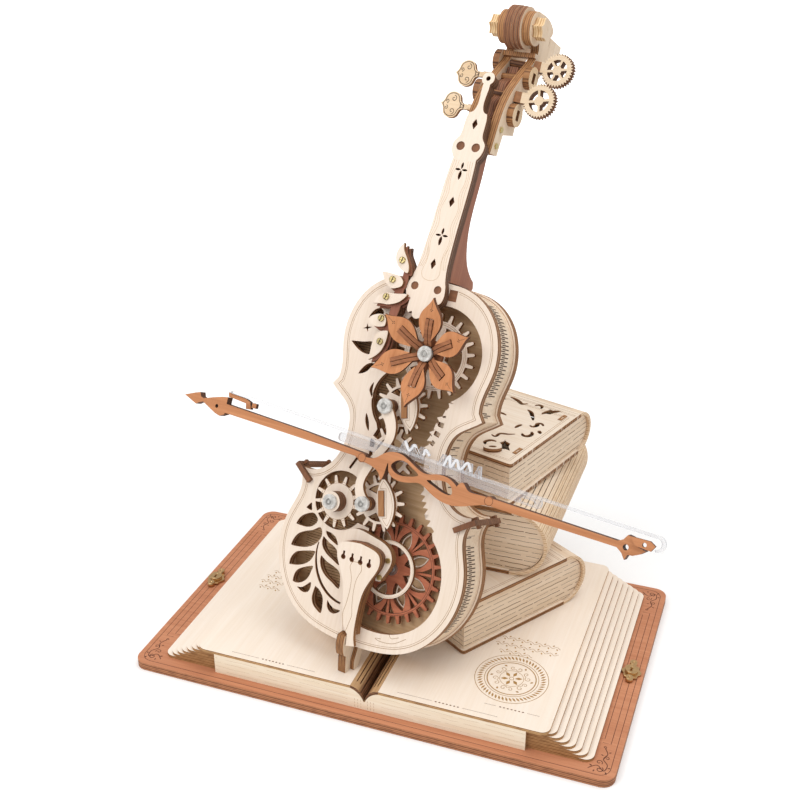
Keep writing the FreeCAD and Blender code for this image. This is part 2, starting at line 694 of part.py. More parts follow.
def corner_tie(side, at, heading):
    """Clamp round a lower corner: a leg on each plate, a bar across the ribs, two cross wedges."""
    back = -BODY_DEPTH - SHEET - SEAT_GAP
    front = SHEET + SEAT_GAP
    bar = TIE_GAP + SHEET
    tie = box(-TIE_REACH, bar, -TIE_HALF, TIE_HALF, SEAT_GAP, front)
    tie = tie.fuse(box(TIE_GAP, bar, -TIE_HALF, TIE_HALF, back, front))
    tie = tie.fuse(box(-TIE_REACH / 2, bar, -TIE_HALF, TIE_HALF, back, back + SHEET))
    for low in (-2 * SHEET, -BODY_DEPTH):
        tie = tie.fuse(box(TIE_GAP + 0.2, bar - 0.2, -TIE_WEDGE, TIE_WEDGE, low, low + SHEET))
    tie = turned(tie.removeSplitter(), heading)
    tie = shifted(tie, at[0], at[1], 0)
    return tie if side > 0 else mirrored(tie)


# Gear train

def spoked(wheel, at, inner, outer, count, low, start=0.0, spoke=3.0, thick=SHEET):
    """Cuts ring segments between spokes."""
    cuts = []
    for k in range(count):
        a = start + 360.0 * k / count
        half_in = math.degrees(spoke / 2 / inner)
        half_out = math.degrees(spoke / 2 / outer)
        step = 360.0 / count
        points = [polar(at, inner, a + half_in), polar(at, inner, a + step - half_in),
                  polar(at, outer, a + step - half_out), polar(at, outer, a + half_out)]
        edges = [arc(points[0], polar(at, inner, a + step / 2), points[1]), segment(points[1], points[2]),
                 arc(points[2], polar(at, outer, a + step / 2), points[3]), segment(points[3], points[0])]
        cuts.append(extrude(edges, low - 1, low + thick + 1))
    return wheel.cut(cuts)


def shaft(at, low, high):
    return disc(at, SHAFT_RADIUS, low, high)


BORE = SHAFT_RADIUS + PRESS_CLEAR
SHAFT_LOW = MECH_W - 1.0
COLLAR = 3.0
GEAR_HIGH_W = GEAR_LOW_W + SHEET
CRANK_HIGH_W = GEAR_HIGH_W + SHEET


def collar(at, low=MECH_W + SHEET + 0.1, high=MECH_W + SHEET + 0.9, radius=COLLAR):
    """Ring on a shaft that keeps it from sliding through the mechanism plate."""
    return disc(at, radius, low, high).cut(disc(at, BORE, low - 1, high + 1))


PLATE_TURN = 15.5
PLATE_TIPS = ((3.3, 11.4), (5.0, -11.4))
PLATE_SIDES = (-0.3, 8.6)
STRIP_X = (1.0, 3.8)
STRIP_HALF = 5.7
STRIP_RISE = 0.8
SPACER_RADIUS = 3.2
CAP_RADIUS = 3.4
CAP_HIGH = 0.8
HEAD_RADIUS = 1.6
HEAD_HIGH = 0.8


def crank_plate(at):
    """Lens-shaped plate on the right half of a crank gear, with a window for its key strip."""
    low = GEAR_HIGH_W + 0.01
    top, bottom = PLATE_TIPS
    inner, outer = PLATE_SIDES
    plate = lens(top, (outer, 0), bottom, (inner, 0), low, CRANK_HIGH_W)
    left = STRIP_X[0] - PRESS_CLEAR
    right = STRIP_X[1] + PRESS_CLEAR
    half = STRIP_HALF + PRESS_CLEAR
    window = box(left, right, -half, half, low - 1, CRANK_HIGH_W + 1)
    return shifted(turned(plate.cut(window), PLATE_TURN), at[0], at[1], 0)


CRESCENT = (4.4, 8.2)


def crank_window(at, first, last):
    """Crescent cut in the open half of a crank gear."""
    inner, outer = CRESCENT
    middle = (first + last) / 2.0
    start = polar(at, outer, first)
    end = polar(at, outer, last)
    point_in = polar(at, inner, middle)
    edges = [arc(start, polar(at, outer, middle), end), segment(end, point_in), segment(point_in, start)]
    return extrude(edges, GEAR_LOW_W - 1, GEAR_HIGH_W + 1)


def crank(at, phase):
    wheel = gear(CRANK_TEETH, at, phase, GEAR_LOW_W, SHAFT_RADIUS + PRESS_CLEAR)
    pin = polar(at, CRANK_RADIUS, CRANK_ANGLE)
    hole = disc(pin, PIN_RADIUS + PRESS_CLEAR, GEAR_LOW_W - 1, GEAR_HIGH_W + 1)
    return wheel.cut([hole, crank_window(at, 96, 146), crank_window(at, 242, 290)])


def crank_trim(at):
    """Spacer disc under the link and the key strip in the lens-shaped plate."""
    pin = polar(at, CRANK_RADIUS, CRANK_ANGLE)
    low = GEAR_HIGH_W + 0.01
    spacer = disc(pin, SPACER_RADIUS, low, LINK_W - SEAT_GAP)
    spacer = spacer.cut(disc(pin, PIN_RADIUS + PRESS_CLEAR, low, LINK_W))
    strip = box(STRIP_X[0], STRIP_X[1], -STRIP_HALF, STRIP_HALF, low, CRANK_HIGH_W + STRIP_RISE)
    return [spacer, shifted(turned(strip, PLATE_TURN), at[0], at[1], 0)]


def slotted_cap(at, low):
    """Clear washer under a slotted screw head."""
    top = low + CAP_HIGH + HEAD_HIGH
    cap = disc(at, CAP_RADIUS, low, low + CAP_HIGH).fuse(disc(at, HEAD_RADIUS, low + CAP_HIGH, top))
    reach = HEAD_RADIUS + 0.5
    slot = box(at[0] - reach, at[0] + reach, at[1] - 0.25, at[1] + 0.25, top - 0.4, top + 1)
    return cap.cut(slot)


def crank_pin(at):
    """Pin through the crank gear and the link, with its cap."""
    pin = polar(at, CRANK_RADIUS, CRANK_ANGLE)
    top = LINK_W + SHEET + SEAT_GAP
    return disc(pin, PIN_RADIUS, GEAR_LOW_W, top).fuse(slotted_cap(pin, top)).removeSplitter()


def make_cranks():
    pinion = gear(ROSETTE_PINION_TEETH, CRANK_LOW_AT, PINION_LOW_PHASE, ROSETTE_W, BORE)
    export_cello("crank_low", crank(CRANK_LOW_AT, CRANK_LOW_PHASE), crank_plate(CRANK_LOW_AT))
    axle = shaft(CRANK_LOW_AT, SHAFT_LOW, GEAR_HIGH_W)
    export_cello("crank_shaft_low", axle, pinion, collar(CRANK_LOW_AT), *crank_trim(CRANK_LOW_AT))
    export_cello("crank_pin_low", crank_pin(CRANK_LOW_AT))
    pinion = gear(FLOWER_PINION_TEETH, CRANK_UP_AT, PINION_UP_PHASE, FLOWER_GEAR_W, BORE)
    export_cello("crank_up", crank(CRANK_UP_AT, CRANK_UP_PHASE), crank_plate(CRANK_UP_AT))
    axle = shaft(CRANK_UP_AT, SHAFT_LOW, GEAR_HIGH_W)
    export_cello("crank_shaft_up", axle, pinion, collar(CRANK_UP_AT), *crank_trim(CRANK_UP_AT))
    export_cello("crank_pin_up", crank_pin(CRANK_UP_AT))


def make_idler():
    wheel = gear(CRANK_TEETH, IDLER_AT, IDLER_PHASE, GEAR_LOW_W, BORE)
    wheel = spoked(wheel, IDLER_AT, 4.0, 7.6, 4, GEAR_LOW_W, 20, 2.6)
    axle = shaft(IDLER_AT, SHAFT_LOW, GEAR_HIGH_W + 0.9)
    export_cello("idler", wheel, axle, collar(IDLER_AT))


HUB_RADIUS = 4.7
HUB_LAYERS = 3


def make_left_gear():
    wheel = gear(LEFT_TEETH, LEFT_AT, LEFT_PHASE, GEAR_LOW_W, BORE)
    export_cello("gear_left", wheel)
    parts = [shaft(LEFT_AT, SHAFT_LOW, GEAR_HIGH_W + HUB_LAYERS * SHEET), collar(LEFT_AT)]
    for k in range(HUB_LAYERS):
        low = GEAR_HIGH_W + k * SHEET
        layer = disc(LEFT_AT, HUB_RADIUS, low, low + SHEET)
        parts.append(layer.cut(disc(LEFT_AT, BORE, low - 1, low + SHEET + 1)))
    top = GEAR_HIGH_W + HUB_LAYERS * SHEET
    parts.append(slotted_cap(LEFT_AT, top))
    export_cello("left_hub", *parts)


PETALS = 6
PETAL_START = 27.5
PETAL_TIP = 24.7
PETAL_ROOT = 5.5
PETAL_ROOT_W = 7.6
PETAL_TILT = 14.0
FLOWER_HUB_W = 2.4
FLOWER_HUB_TOP = 7.2
FLOWER_HUB_PLATE = 6.6
FLOWER_HUB_RADIUS = 3.3


def petal():
    """Pointed leaf, pierced for its two ribs, lifted towards the tip."""
    half = [(0.0, 1.3), (4.0, 3.7), (8.4, 5.4), (12.0, 4.9)]
    length = (PETAL_TIP - PETAL_ROOT) / math.cos(math.radians(PETAL_TILT))
    tip = (length, 0)
    edges = [curve(half + [(15.5, 2.6), tip]), curve([(x, -y) for x, y in half] + [(15.5, -2.6), tip]),
             segment(half[0], (half[0][0], -half[0][1]))]
    leaf = extrude(edges, 0, SHEET)
    leaf = leaf.cut(box(-1.0, 10.6, -1.95, 1.95, -1, SHEET + 1))
    leaf.rotate(V(0, 0, 0), V(0, 1, 0), -PETAL_TILT)
    return shifted(leaf, PETAL_ROOT, 0, PETAL_ROOT_W)


def petal_rib(side):
    """Curved rib that stands on the hub and carries a petal in its slot; drawn in r-w."""
    low = FLOWER_HUB_W + SHEET + 0.05
    edges = [arc((5.4, low), (9.2, 7.7), (15.0, 9.6)), segment((15.0, 9.6), (15.0, 12.7)),
             arc((15.0, 12.7), (9.4, 11.2), (3.7, 7.4)), segment((3.7, 7.4), (3.7, low)),
             segment((3.7, low), (5.4, low))]
    rib = extrude(edges, 0, 1.6)
    rib.rotate(V(0, 0, 0), V(1, 0, 0), 90)
    return shifted(rib, 0, 1.75 if side > 0 else -0.15, 0)


def flower_piece(shape, k):
    piece = turned(shape, PETAL_START + 60 * k)
    return shifted(piece, FLOWER_AT[0], FLOWER_AT[1], 0)


def make_flower():
    wheel = gear(FLOWER_TEETH, FLOWER_AT, FLOWER_PHASE, FLOWER_GEAR_W, BORE)
    wheel = spoked(wheel, FLOWER_AT, 5.0, 13.2, 6, FLOWER_GEAR_W, PETAL_START, 3.6)
    export_cello("flower_gear", wheel)
    hub = disc(FLOWER_AT, FLOWER_HUB_PLATE, FLOWER_HUB_W, FLOWER_HUB_W + SHEET)
    hub = hub.fuse(disc(FLOWER_AT, FLOWER_HUB_RADIUS, FLOWER_HUB_W, FLOWER_HUB_TOP))
    hub = hub.fuse(disc(FLOWER_AT, COLLAR, -SHEET + PRESS_CLEAR, FLOWER_HUB_W))
    hub = hub.cut(disc(FLOWER_AT, BORE, -5, 9))
    leaf = petal()
    export_cello("flower_petals", *[flower_piece(leaf, k) for k in range(PETALS)])
    ribs_pair = [petal_rib(1), petal_rib(-1)]
    stand = [flower_piece(rib, k) for k in range(PETALS) for rib in ribs_pair]
    stand += [hub, shaft(FLOWER_AT, SHAFT_LOW, FLOWER_HUB_TOP), collar(FLOWER_AT)]
    export_cello("flower_ribs", *stand)
    export_cello("flower_screw", slotted_cap(FLOWER_AT, FLOWER_HUB_TOP))


def rosette_window(k):
    """Flower-like openings: a petal slot and a small leaf between the spokes."""
    turn = ROSETTE_PHASE + 60 * k

    def slot(turn, near, middle, far, spread):
        left = polar(ROSETTE_AT, middle, turn + spread)
        right = polar(ROSETTE_AT, middle, turn - spread)
        ends = (polar(ROSETTE_AT, near, turn), polar(ROSETTE_AT, far, turn))
        return lens(ends[0], left, ends[1], right, ROSETTE_W - 1, ROSETTE_W + SHEET + 1)
    return [slot(turn, 6.0, 12.5, 19.0, 17), slot(turn + 30, 13.4, 17.0, 19.4, 8)]


DRUM_RADIUS = 8.5
DRUM_LOW = -19.0
DRUM_GAP = 0.6


def make_rosette():
    wheel = gear(ROSETTE_TEETH, ROSETTE_AT, ROSETTE_PHASE, ROSETTE_W, BORE)
    for k in range(6):
        wheel = wheel.cut(rosette_window(k))
    export_cello("rosette_gear", wheel)
    bore = disc(ROSETTE_AT, BORE, -BODY_DEPTH, 0)
    drum = disc(ROSETTE_AT, DRUM_RADIUS, DRUM_LOW, MECH_W - DRUM_GAP).cut(bore)
    face = ROSETTE_W + SHEET
    axle = shaft(ROSETTE_AT, DRUM_LOW, face + 1.2)
    cap = disc(ROSETTE_AT, COLLAR, face + PRESS_CLEAR, face + CAP_HIGH).cut(bore)
    export_cello("movement_drum", drum, axle, cap, collar(ROSETTE_AT))


# Movement frame and its winding key

KEY_AT = (-14.0, -48.0)
KEY_SHAFT = 2.0
KEY_OUT = 8.0
KEY_FLANGE = 5.5
KEY_EYE = 1.1
KEY_EYE_OUT = 4.4
MOVEMENT_BED = 0.8
SPRING_HOUSING = 8.8
SPRING_ROOM = 7.4
COMB = (-2, 24, -64.5, -60.0)
COMB_THICK = 2.4
POSTS = ((-22, -34), (22, -34), (-22, -64), (22.2, -64))


def make_movement():
    """Bed under the mechanism plate with the spring housing and the comb."""
    high = MECH_W - SEAT_GAP
    low = -BODY_DEPTH + 2 * SHEET + SEAT_GAP
    bed = low + MOVEMENT_BED
    floor = box(-24, 24, -66, -32, low, bed)
    floor = floor.cut(disc(KEY_AT, KEY_SHAFT + RUN_CLEAR, low - 1, bed + 1))
    housing = disc(KEY_AT, SPRING_HOUSING, bed, high).cut(disc(KEY_AT, SPRING_ROOM, bed, high + 1))
    comb = box(*COMB, bed, bed + COMB_THICK)
    posts = [disc(at, PEG_RADIUS, bed, high) for at in POSTS]
    floor = floor.fuse([housing, comb] + posts).removeSplitter()
    floor = floor.cut(disc(ROSETTE_AT, DRUM_RADIUS + 0.4, bed + SEAT_GAP, high + 1))
    export_cello("movement_frame", floor)
    out = -BODY_DEPTH - KEY_OUT
    x, y = KEY_AT
    stem = disc(KEY_AT, KEY_SHAFT, out, low + 3.0)
    flange = disc(KEY_AT, KEY_FLANGE, low + 1.2, low + 3.0)
    wing = rounded_box(x - 7, x + 7, y - 1, y + 1, out - 4, out, 0.6)
    eyes = [Part.makeCylinder(KEY_EYE, 4, V(x + side * KEY_EYE_OUT, y - 2, out - 2), V(0, 1, 0))
            for side in (-1, 1)]
    export_cello("key", stem.fuse([flange, wing]).removeSplitter().cut(eyes))


# Link between the crank pins, bow, clear carrier and hair strip

LINK_LEFT = [(-7.9, 21.6), (-5.6, 18.0), (-2.2, 13.6), (-1.2, 8.8), (-3.4, 3.4), (-7.2, -3.0), (-9.7, -9.0),
             (-10.7, -15.0), (-9.4, -19.6), (-7.9, -22.2)]
LINK_RIGHT = [(-1.5, -20.6), (-4.6, -18.4), (-6.7, -14.4), (-5.6, -9.0), (-3.0, -3.0), (0.6, 3.4),
              (2.9, 9.0), (2.6, 14.6), (0.6, 19.4), (-1.6, 22.4)]
LINK_END = 3.4


def link():
    body = extrude([curve(LINK_LEFT), segment(LINK_LEFT[-1], LINK_RIGHT[0]), curve(LINK_RIGHT),
                    segment(LINK_RIGHT[-1], LINK_LEFT[0])], LINK_W, LINK_W + SHEET)
    for pin in (PIN_LOW_AT, PIN_UP_AT):
        body = body.fuse(disc(pin, LINK_END, LINK_W, LINK_W + SHEET))
    bores = [disc(pin, PIN_RADIUS + RUN_CLEAR, LINK_W - 1, LINK_W + 3) for pin in (PIN_LOW_AT, PIN_UP_AT)]
    return body.removeSplitter().cut(bores)


BOW_HEAD_LEFT = [(-86.0, 6.8), (-89.0, 6.4), (-94.5, 4.9), (-99.8, 3.1), (-101.6, 3.7), (-102.4, 5.6),
                 (-105.0, 4.8), (-111.2, 2.4), (-105.2, 0.2), (-103.6, -0.4), (-101.8, 0.8), (-99.8, 1.6),
                 (-94.5, -0.8), (-91.5, -2.1), (-88.6, -2.8), (-86.0, -1.5)]
BOW_STICK_LEFT = [(-85.0, 3.5), (-40.0, 1.8), (-8.3, -0.2)]
BOW_STICK_LEFT_LOW = [(-8.3, -3.6), (-12.0, -2.4), (-40.0, -1.8), (-85.0, -0.7)]
BOW_TOP = [(-8.3, -0.9), (-4.5, -1.5), (-1.0, -0.2), (2.2, 2.4), (6.0, 4.0), (10.2, 4.1), (15.0, 2.4),
           (20.0, -0.1), (24.5, -1.1), (28.5, -0.1), (32.5, 0.3), (36.5, -0.6), (39.6, -2.6)]
BOW_TOP_RIGHT = [(39.6, -2.6), (40.4, -1.2), (41.6, -0.2), (44.5, -2.4), (49.0, -3.2), (55.3, -3.0)]
BOW_LOW_RIGHT = [(55.3, -6.4), (51.0, -7.4), (45.0, -9.6), (38.5, -10.9), (33.0, -10.3), (27.0, -7.9),
                 (22.3, -5.9), (17.0, -6.9), (11.5, -7.4), (7.6, -6.2), (5.6, -3.0)]
BOW_DROP = [(5.6, -3.0), (5.0, -1.2), (4.6, -4.0), (4.1, -7.6), (3.4, -9.2), (1.9, -7.2), (0.0, -5.6),
            (-4.0, -4.3), (-8.3, -3.7)]
LOOP_LEFT_HOLE = [(6.9, -1.4), (8.6, 0.6), (12.4, 1.6), (17.2, -0.4), (20.6, -2.6), (16.4, -4.3),
                  (11.6, -4.9), (8.4, -3.8)]
LOOP_RIGHT_HOLE = [(25.6, -3.4), (29.6, -2.4), (34.2, -2.0), (37.4, -3.8), (38.0, -6.4), (34.6, -6.9),
                   (30.0, -5.6)]
BOW_STICK_RIGHT = [(55.3, -3.0), (112.4, -4.6), (114.6, -3.4), (116.0, -1.2), (118.2, -1.6), (119.2, -4.0),
                   (121.4, -4.8), (124.4, -5.6), (122.2, -7.4), (119.6, -8.7), (117.6, -8.8), (116.7, -11.2),
                   (115.0, -8.8), (112.6, -7.2), (55.3, -6.4)]
BOW_SHEETS = 2
BOW_BOSSES = ((-8.3, -2.3), (55.3, -4.5))


def bow_sheet(low):
    high = low + SHEET
    left = polygon(BOW_HEAD_LEFT, low, high)
    stick = polygon([(-86.2, 3.6)] + BOW_STICK_LEFT + BOW_STICK_LEFT_LOW + [(-86.2, -0.8)], low, high)
    middle = [curve(BOW_TOP), curve(BOW_TOP_RIGHT), segment(BOW_TOP_RIGHT[-1], BOW_LOW_RIGHT[0]),
              curve(BOW_LOW_RIGHT), curve(BOW_DROP), segment(BOW_DROP[-1], BOW_TOP[0])]
    shape = extrude(middle, low, high)
    shape = shape.fuse([left, stick, polygon(BOW_STICK_RIGHT, low, high)])
    shape = shape.fuse([disc(at, 2.1, low, high) for at in BOW_BOSSES]).removeSplitter()
    holes = [blob(LOOP_LEFT_HOLE, low - 1, high + 1), blob(LOOP_RIGHT_HOLE, low - 1, high + 1),
             disc((-91.3, 1.4), 0.9, low - 1, high + 1), disc((116.2, -6.2), 1.2, low - 1, high + 1)]
    return shape.cut(holes)


CARRIER_W = 4.4
CARRIER_THICK = 1.5
HAIR_W = 9.0
HAIR_THICK = 1.6
HAIR_WIDTH = 1.3


def carrier():
    """Clear strip behind the link that carries the hair's zigzag guides."""
    low = CARRIER_W
    high = CARRIER_W + CARRIER_THICK
    strip = rounded_box(-26.0, 76.0, -1.6, 2.4, low, high, 1.6)
    waves = []
    for start, count in ((5.0, 3), (25.0, 5)):
        for k in range(count):
            x = start + 4.4 * k
            waves.append(polygon([(x, 2.0), (x + 1.6, 7.6), (x + 2.8, 7.6), (x + 4.2, 2.0), (x + 3.0, 2.0),
                                  (x + 2.2, 5.6), (x + 1.3, 2.0)], low, high))
    strip = strip.fuse(waves).removeSplitter()
    slot = rounded_box(8.0, 22.0, -0.6, 0.8, low - 1, high + 1, 0.6)
    slot_right = rounded_box(66.0, 73.0, -0.7, 0.9, low - 1, high + 1, 0.7)
    tilted = strip.cut([slot, slot_right])
    tilted.rotate(V(0, 0, 0), V(0, 0, 1), -2.3)
    return shifted(tilted, 0, 2.0, 0)


def hair():
    """Clear strip along the bow, from the left end link to a loop round the right head."""
    low = HAIR_W
    high = HAIR_W + HAIR_THICK
    half = HAIR_WIDTH / 2
    top = [(-86.0, 9.6 + half), (0.0, 6.0 + half), (84.2, 2.2 + half), (128.0, 1.0 + half)]
    under = [(x, y - 2 * half) for x, y in reversed(top)]
    loop = [arc((128.0, 1.0 + half), (131.0, -2.2), (127.6, -5.0)), segment((127.6, -5.0), (127.2, -4.0)),
            arc((127.2, -4.0), (129.4, -2.0), (128.0, 1.0 - half))]
    edges = [curve(top), curve(under), segment(under[-1], top[0])] + loop
    return extrude(edges, low, high)


def hair_links():
    """Wooden end links that hold the clear strip off the bow's two ends."""
    left = polygon([(-87.6, 9.0), (-77.0, 8.2), (-74.4, 7.4), (-73.2, 4.0), (-76.0, 3.7), (-76.6, 6.2),
                    (-85.0, 6.9), (-87.0, 6.9)], BOW_W, BOW_W + SHEET)
    knob = box(-73.0, -70.6, 5.0, 7.2, BOW_W, BOW_W + SHEET)
    right = polygon([(117.8, -1.2), (125.6, -1.0), (128.0, -2.4), (126.6, -4.8), (120.4, -4.3),
                     (118.6, -3.0)], BOW_W + 2 * SHEET + 0.05, BOW_W + 2 * SHEET + 1.5)
    return [left.cut(box(-90, -60, 9.0, 12, 0, 20)), knob, right.cut(disc((123.6, -3.0), 0.9, 0, 20))]


def make_bow():
    export_cello("link", link())
    export_cello("bow", *[bow_sheet(BOW_W + k * SHEET) for k in range(BOW_SHEETS)])
    export_cello("bow_carrier", carrier())
    export_cello("bow_hair", hair())
    export_cello("bow_trim", *hair_links())


# Tailpiece and endpin

TAIL_BASE = [(-13.4, -38.6), (-6.4, -34.8), (1.6, -35.8), (9.0, -37.6), (12.6, -40.5), (13.8, -45.0),
             (12.0, -50.5), (10.6, -54.0)]
TAIL_BASE_BACK = [(8.2, -54.4), (8.2, -51.0), (9.4, -47.0), (8.2, -43.4), (6.8, -46.0), (5.8, -54.0),
                  (4.4, -64.0), (4.0, -72.0), (4.8, -80.6)]
TAIL_RIGHT = [(0.0, -39.0), (6.0, -39.8), (10.4, -42.0), (11.2, -45.6), (9.0, -52.0), (6.0, -59.0),
              (4.9, -66.0), (4.7, -74.0), (5.0, -80.0), (6.4, -85.0)]
TAIL_LEFT = [(0.0, -39.0), (-6.0, -39.8), (-10.4, -42.0), (-11.0, -45.6), (-8.4, -52.0), (-5.3, -58.5),
             (-3.7, -66.0), (-2.3, -73.0), (-0.8, -77.6), (1.7, -80.6)]
TAIL_FOOT = (2.2, -86.0)
TAIL_TILT = 5.1
TAIL_W = 4.1
KEYHOLES = (-7.4, -2.9, 1.6, 6.1)


def tail_outline(low, high, inset=0.0):
    top = TAIL_RIGHT[0]
    right = [top] + [(x - inset, y) for x, y in TAIL_RIGHT[1:]]
    left = [top] + [(x + inset, y) for x, y in TAIL_LEFT[1:]]
    foot = [left[-1], TAIL_FOOT, right[-1]]
    edges = [curve(right), curve(left), segment(foot[0], foot[1]), segment(foot[1], foot[2])]
    return extrude(edges, low, high)


def tailpiece():
    """Top sheet of the tailpiece, tilted towards its foot, with four keyholes."""
    sheet = tail_outline(0, SHEET)
    for x in KEYHOLES:
        hole = disc((x, -47.2), 1.2, -1, 3).fuse(box(x - 0.5, x + 0.5, -47.0, -44.4, -1, 3))
        sheet = sheet.cut(hole)
    sheet.rotate(V(0, -86.2, 0), V(1, 0, 0), TAIL_TILT)
    return shifted(sheet, 0, 0, TAIL_W)


def tail_riser():
    """Wedge of sheets between the tailpiece's base and its top sheet."""
    wedge = tail_outline(TAIL_W, TAIL_W + 8, 0.4)
    roof = box(-30, 30, -90, 10, 0, 30)
    roof.rotate(V(0, -86.2, 0), V(1, 0, 0), TAIL_TILT)
    return wedge.cut(shifted(roof, 0, 0, TAIL_W - 0.02)).cut(box(-30, 30, -90, -80, 0, 20))


FOOT_W = -2.66
FOOT_V = -99.7
BODY_FOOT = -87.3
FIN_AT = (-2.5, -0.5)
FIN_TOP = [(0.1, BODY_FOOT), (0.1, -81.2), (3.6, -81.0), (7.2, -82.2)]
FIN_FRONT = [(7.2, -82.2), (7.2, -84.8), (5.4, -89.9), (4.0, -91.6)]
FIN_NOTCH = [(4.0, -91.6), (2.0, -92.2), (1.9, -93.0), (0.2, -97.7)]
FIN_TOE = -0.9
FIN_HEEL = -6.0
FIN_BACK = -4.2
STAY_AT = 1.52
STAY_FRONT = [(-3.4, BODY_FOOT), (-3.4, -89.5), (-2.9, -92.9), (-3.3, -95.9)]
STAY_TOE = -4.4
STAY_HEEL = -8.0
STAY_BACK = -7.0


def page_line(w):
    """Height v at which the page's face crosses depth w."""
    return FOOT_V - (w - FOOT_W) * math.tan(math.radians(CELLO_LEAN)) + SEAT_GAP


def endpin():
    """Three sheets on edge with their feet on the page: two notched fins and a stay set back."""
    # drawn with w along x and v along y
    toe = (FIN_TOE, page_line(FIN_TOE))
    heel = (FIN_HEEL, page_line(FIN_HEEL))
    back = (FIN_BACK, BODY_FOOT)
    chain = FIN_NOTCH + [toe, heel]
    edges = [segment(a, b) for a, b in zip(chain, chain[1:])]
    edges += [segment(a, b) for a, b in zip(FIN_TOP, FIN_TOP[1:])]
    edges += [curve(FIN_FRONT), arc(heel, (FIN_HEEL - 1.2, -92.0), back), segment(back, FIN_TOP[0])]
    parts = [side_profile(edges, u, u + SHEET) for u in FIN_AT]
    toe = (STAY_TOE, page_line(STAY_TOE))
    heel = (STAY_HEEL, page_line(STAY_HEEL))
    back = (STAY_BACK, BODY_FOOT)
    edges = [curve(STAY_FRONT), segment(STAY_FRONT[-1], toe), segment(toe, heel),
             arc(heel, (STAY_HEEL - 0.4, -92.5), back), segment(back, STAY_FRONT[0])]
    return parts + [side_profile(edges, STAY_AT, STAY_AT + SHEET)]


def make_tail():
    edges = [curve(TAIL_BASE), segment(TAIL_BASE[-1], TAIL_BASE_BACK[0]), curve(TAIL_BASE_BACK),
             segment(TAIL_BASE_BACK[-1], (-4.2, -80.6)), segment((-4.2, -80.6), (-4.8, -60.0)),
             segment((-4.8, -60.0), (-14.0, -44.0)), segment((-14.0, -44.0), TAIL_BASE[0])]
    export_cello("tail_base", extrude(edges, 0.05, SHEET), extrude(edges, SHEET, 2 * SHEET))
    export_cello("tail_riser", tail_riser())
    export_cello("tailpiece", tailpiece())
    export_cello("endpin", *endpin())


# Fingerboard, drawn in its own plane: x across, y up the board from its foot, face at z = 0

BOARD = Placement(V(0, FINGER_FOOT_V, FINGER_FOOT_W), Rotation(V(1, 0, 0), -FINGER_TILT))
BOARD_LOBE = [(0.0, -4.6), (3.4, -4.9), (4.8, -7.4), (6.8, -9.8), (9.0, -8.4), (9.7, -5.0), (9.0, -1.0)]
BOARD_SIDE = [(9.0, -1.0), (7.6, 4.0), (7.0, 10.0), (6.5, 30.0), (5.7, 57.0)]
BOARD_SHOULDER = [(5.7, 57.0), (7.0, 58.8), (7.8, 61.4), (7.6, 64.4), (6.0, 66.6), (5.2, 70.6), (4.4, 78.2)]
BOARD_TONGUE = [(4.4, 78.2), (2.6, 79.0), (1.5, 81.6), (1.35, 85.5), (1.6, 91.8)]
BOARD_RING_AT = (0.0, 94.5)
BOARD_RING = 3.05
BOARD_RING_HOLE = 1.1
CORE_INSET = 0.3
DIAMONDS = (8.0, 36.8, 73.1)
CROSSES = (21.2, 51.8)
CROSS_WAIST = 0.66
CROSS_SPREAD = 14
PLUGS = ((5.8, -3.0, 1.8), (3.8, 62.5, 2.0))
PLUG_SUNK = 0.5


def board_outline(low, high, inset=0.0):
    right = [BOARD_LOBE, BOARD_SIDE, BOARD_SHOULDER, BOARD_TONGUE]
    edges = []
    for chain in right:
        edges.append(curve([(x - inset if x > 0 else x, y) for x, y in chain]))
        edges.append(curve([(-(x - inset) if x > 0 else x, y) for x, y in chain]))
    x, y = BOARD_TONGUE[-1]
    edges.append(segment((x - inset, y), (-(x - inset), y)))
    return extrude(edges, low, high)


def board_cuts(low, high):
    cuts = []
    for y in DIAMONDS:
        cuts.append(polygon([(0, y - 2.6), (1.4, y), (0, y + 2.6), (-1.4, y)], low, high))
    for y in CROSSES:
        here = (0, y)
        for k, length in enumerate((3.6, 3.2, 4.8, 3.2)):
            turn = 90 - 90 * k
            a = polar(here, 0.2, turn)
            b = polar(here, length, turn)
            waist = length * CROSS_WAIST
            left = polar(here, waist, turn + CROSS_SPREAD)
            right = polar(here, waist, turn - CROSS_SPREAD)
            cuts.append(lens(a, left, b, right, low, high))
    for x, y, radius in PLUGS:
        cuts += [disc((side * x, y), radius + RUN_CLEAR, low, high) for side in (-1, 1)]
    cuts.append(disc(BOARD_RING_AT, BOARD_RING_HOLE, low, high))
    return cuts


def make_fingerboard():
    sheet = board_outline(-SHEET, 0).fuse(disc(BOARD_RING_AT, BOARD_RING, -SHEET, 0)).removeSplitter()
    sheet = sheet.cut(board_cuts(-SHEET - 1, 1))
    halves = []
    for k in range(2):
        low = -(k + 2) * SHEET
        core = board_outline(low, low + SHEET, CORE_INSET)
        core = core.fuse(disc(BOARD_RING_AT, BOARD_RING - CORE_INSET, low, low + SHEET)).removeSplitter()
        halves.append(core.cut(disc(BOARD_RING_AT, BOARD_RING_HOLE, low - 1, low + SHEET + 1)))
    plugs = []
    for x, y, radius in PLUGS:
        plugs += [disc((side * x, y), radius, -SHEET, -PLUG_SUNK) for side in (-1, 1)]
    for shape in [sheet] + halves + plugs:
        shape.Placement = BOARD.multiply(shape.Placement)
    clear = box(-60, 60, -100, 82.0 + SEAT_GAP, -BODY_DEPTH, SEAT_GAP / 2)
    export_cello("fingerboard", sheet)
    export_cello("fingerboard_core", *([half.cut(clear) for half in halves] + plugs))


# Neck: keel on edge behind the fingerboard, drawn with w along x and v along y

